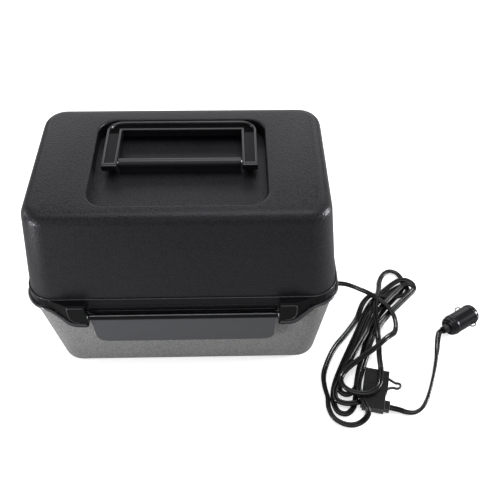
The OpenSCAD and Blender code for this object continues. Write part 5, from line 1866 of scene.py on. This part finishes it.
@dataclass
class Plug(SubAssembly):
    """The 12 volt plug: collar, body, notched ring, wire springs, relief and tip.

    A loop of wire is given by the place of its middle along and out from the axis, its bend and its radius.
    """

    rear: Point = (259.0 * MM, -44.5 * MM, 10.3 * MM)
    turn: float = 31.5
    smooth_below: float = 38.0
    body_rounding: float = 0.25 * MM
    dark_end: float = 4.9 * MM
    collar: Outline = (
        (0.0, 5.2), (0.7, 5.2), (0.7, 6.3), (0.0, 6.5), (0.0, 7.4), (0.3, 8.0), (1.0, 8.7), (2.2, 9.35),
        (3.6, 9.5), (4.4, 9.55), (4.6, 9.9), (5.2, 10.2), (6.0, 10.3), (7.0, 10.3), (7.8, 10.2), (8.3, 9.85),
        (8.6, 9.8), (9.0, 9.8), (9.0, 7.05), (2.9, 7.05), (2.9, 4.0), (0.35, 4.0), (0.35, 5.2),
    )
    relief: Outline = (
        (-7.0, 2.0), (-7.0, 3.3), (-6.7, 3.65), (-6.0, 3.75), (-5.4, 3.6), (-5.1, 3.2), (-4.7, 3.2),
        (-4.3, 3.8), (-3.0, 4.2), (-1.4, 4.5), (0.0, 4.6), (0.3, 4.5), (0.3, 3.9), (2.8, 3.9), (2.8, 2.0),
    )
    loop: tuple[float, float, float, float] = (25.0 * MM, 9.3 * MM, 3.8 * MM, 0.65 * MM)
    loop_root: float = 2.6 * MM
    loop_neck: float = 1.2 * MM

    def _place(self) -> Matrix:
        """Give the frame of the plug, with Z from its rear face to its tip."""
        turn = Matrix.Rotation(math.radians(self.turn), 4, "Z") @ Matrix.Rotation(math.radians(90.0), 4, "Y")
        return Matrix.Translation(self.rear) @ turn

    def _turned(self, name: str, outline: Outline, sides: int) -> Piece:
        """Turn a closed outline about the plug's axis.

        Args:
            name: Name of the piece.
            outline: Places along the axis and radii there, in millimetres.
            sides: Number of faces round it.

        Returns:
            The smooth ring, in its place.
        """
        piece = Bench.turned(name, metres(outline), sides)
        Bench.put(piece, self._place())
        Bench.smooth(piece, self.smooth_below)
        return piece

    def rear_collar(self) -> None:
        """Turn the collar with its bead, groove and recessed rear face."""
        piece = self._turned("collar_shape", self.collar, sides=64)
        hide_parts("plug_collar")
        self.dress(piece, "plug_collar", "plug_plastic")

    def strain_relief(self) -> None:
        """Turn the short relief with its neck and the dark ring at its end."""
        piece = self._turned("relief_shape", self.relief, sides=48)
        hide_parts("plug_strain_relief")
        self.dress(piece, "plug_strain_relief", "relief_rubber")
        end = self._place() @ Vector((0.0, 0.0, -self.dark_end))
        axis = self._place().to_3x3() @ Vector((0.0, 0.0, 1.0))
        self.finishes.patch(piece, "painted_shade_and_dark_rubber", lambda at, up: (at - end).dot(axis) < 0.0)

    def side_wires(self) -> None:
        """Bend the two spring wires that stand out of the body's sides."""
        spot, centre, bend, radius = self.loop
        root, neck = centre - self.loop_root, centre - self.loop_neck
        turns = [math.radians(angle) for angle in range(0, 181, 30)]
        arc = [(spot - bend * math.cos(a), centre + bend * math.sin(a)) for a in turns]
        route = [(spot - bend, root), (spot - bend, neck), *arc, (spot + bend, neck), (spot + bend, root)]
        loops = []
        for side in (1.0, -1.0):
            points = [self._place() @ Vector((0.0, side * out, along)) for along, out in route]
            loops.append(Bench.wire(f"side_wire_{len(loops)}", points, radius))
        piece = Bench.join("side_wires", loops)
        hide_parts("plug_side_contacts")
        self.dress(piece, "plug_side_contacts", "bright_wire")

    def build(self) -> list[Piece]:
        """Make the plug.

        Returns:
            Its pieces.
        """
        self.rear_collar()
        self.keep("plug_body", "plug_plastic", MOULDED, self.body_rounding)
        self.keep("plug_ring", "plug_plastic")
        self.side_wires()
        self.strain_relief()
        self.keep("plug_tip", "brass")
        return self.made


def main() -> None:
    """Build the studio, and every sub-assembly and the leads."""
    logging.basicConfig(level=logging.INFO, format="%(name)s %(message)s")
    Studio().build()
    finishes = Finishes()
    for group in (Lid, Base, Heater, Handle, Latch):
        group(finishes).build()
    fuse = FuseHolder(finishes).build()
    plug = Plug(finishes).build()
    LeadSet(finishes).build(fuse, plug)


if __name__ == "__main__":
    main()
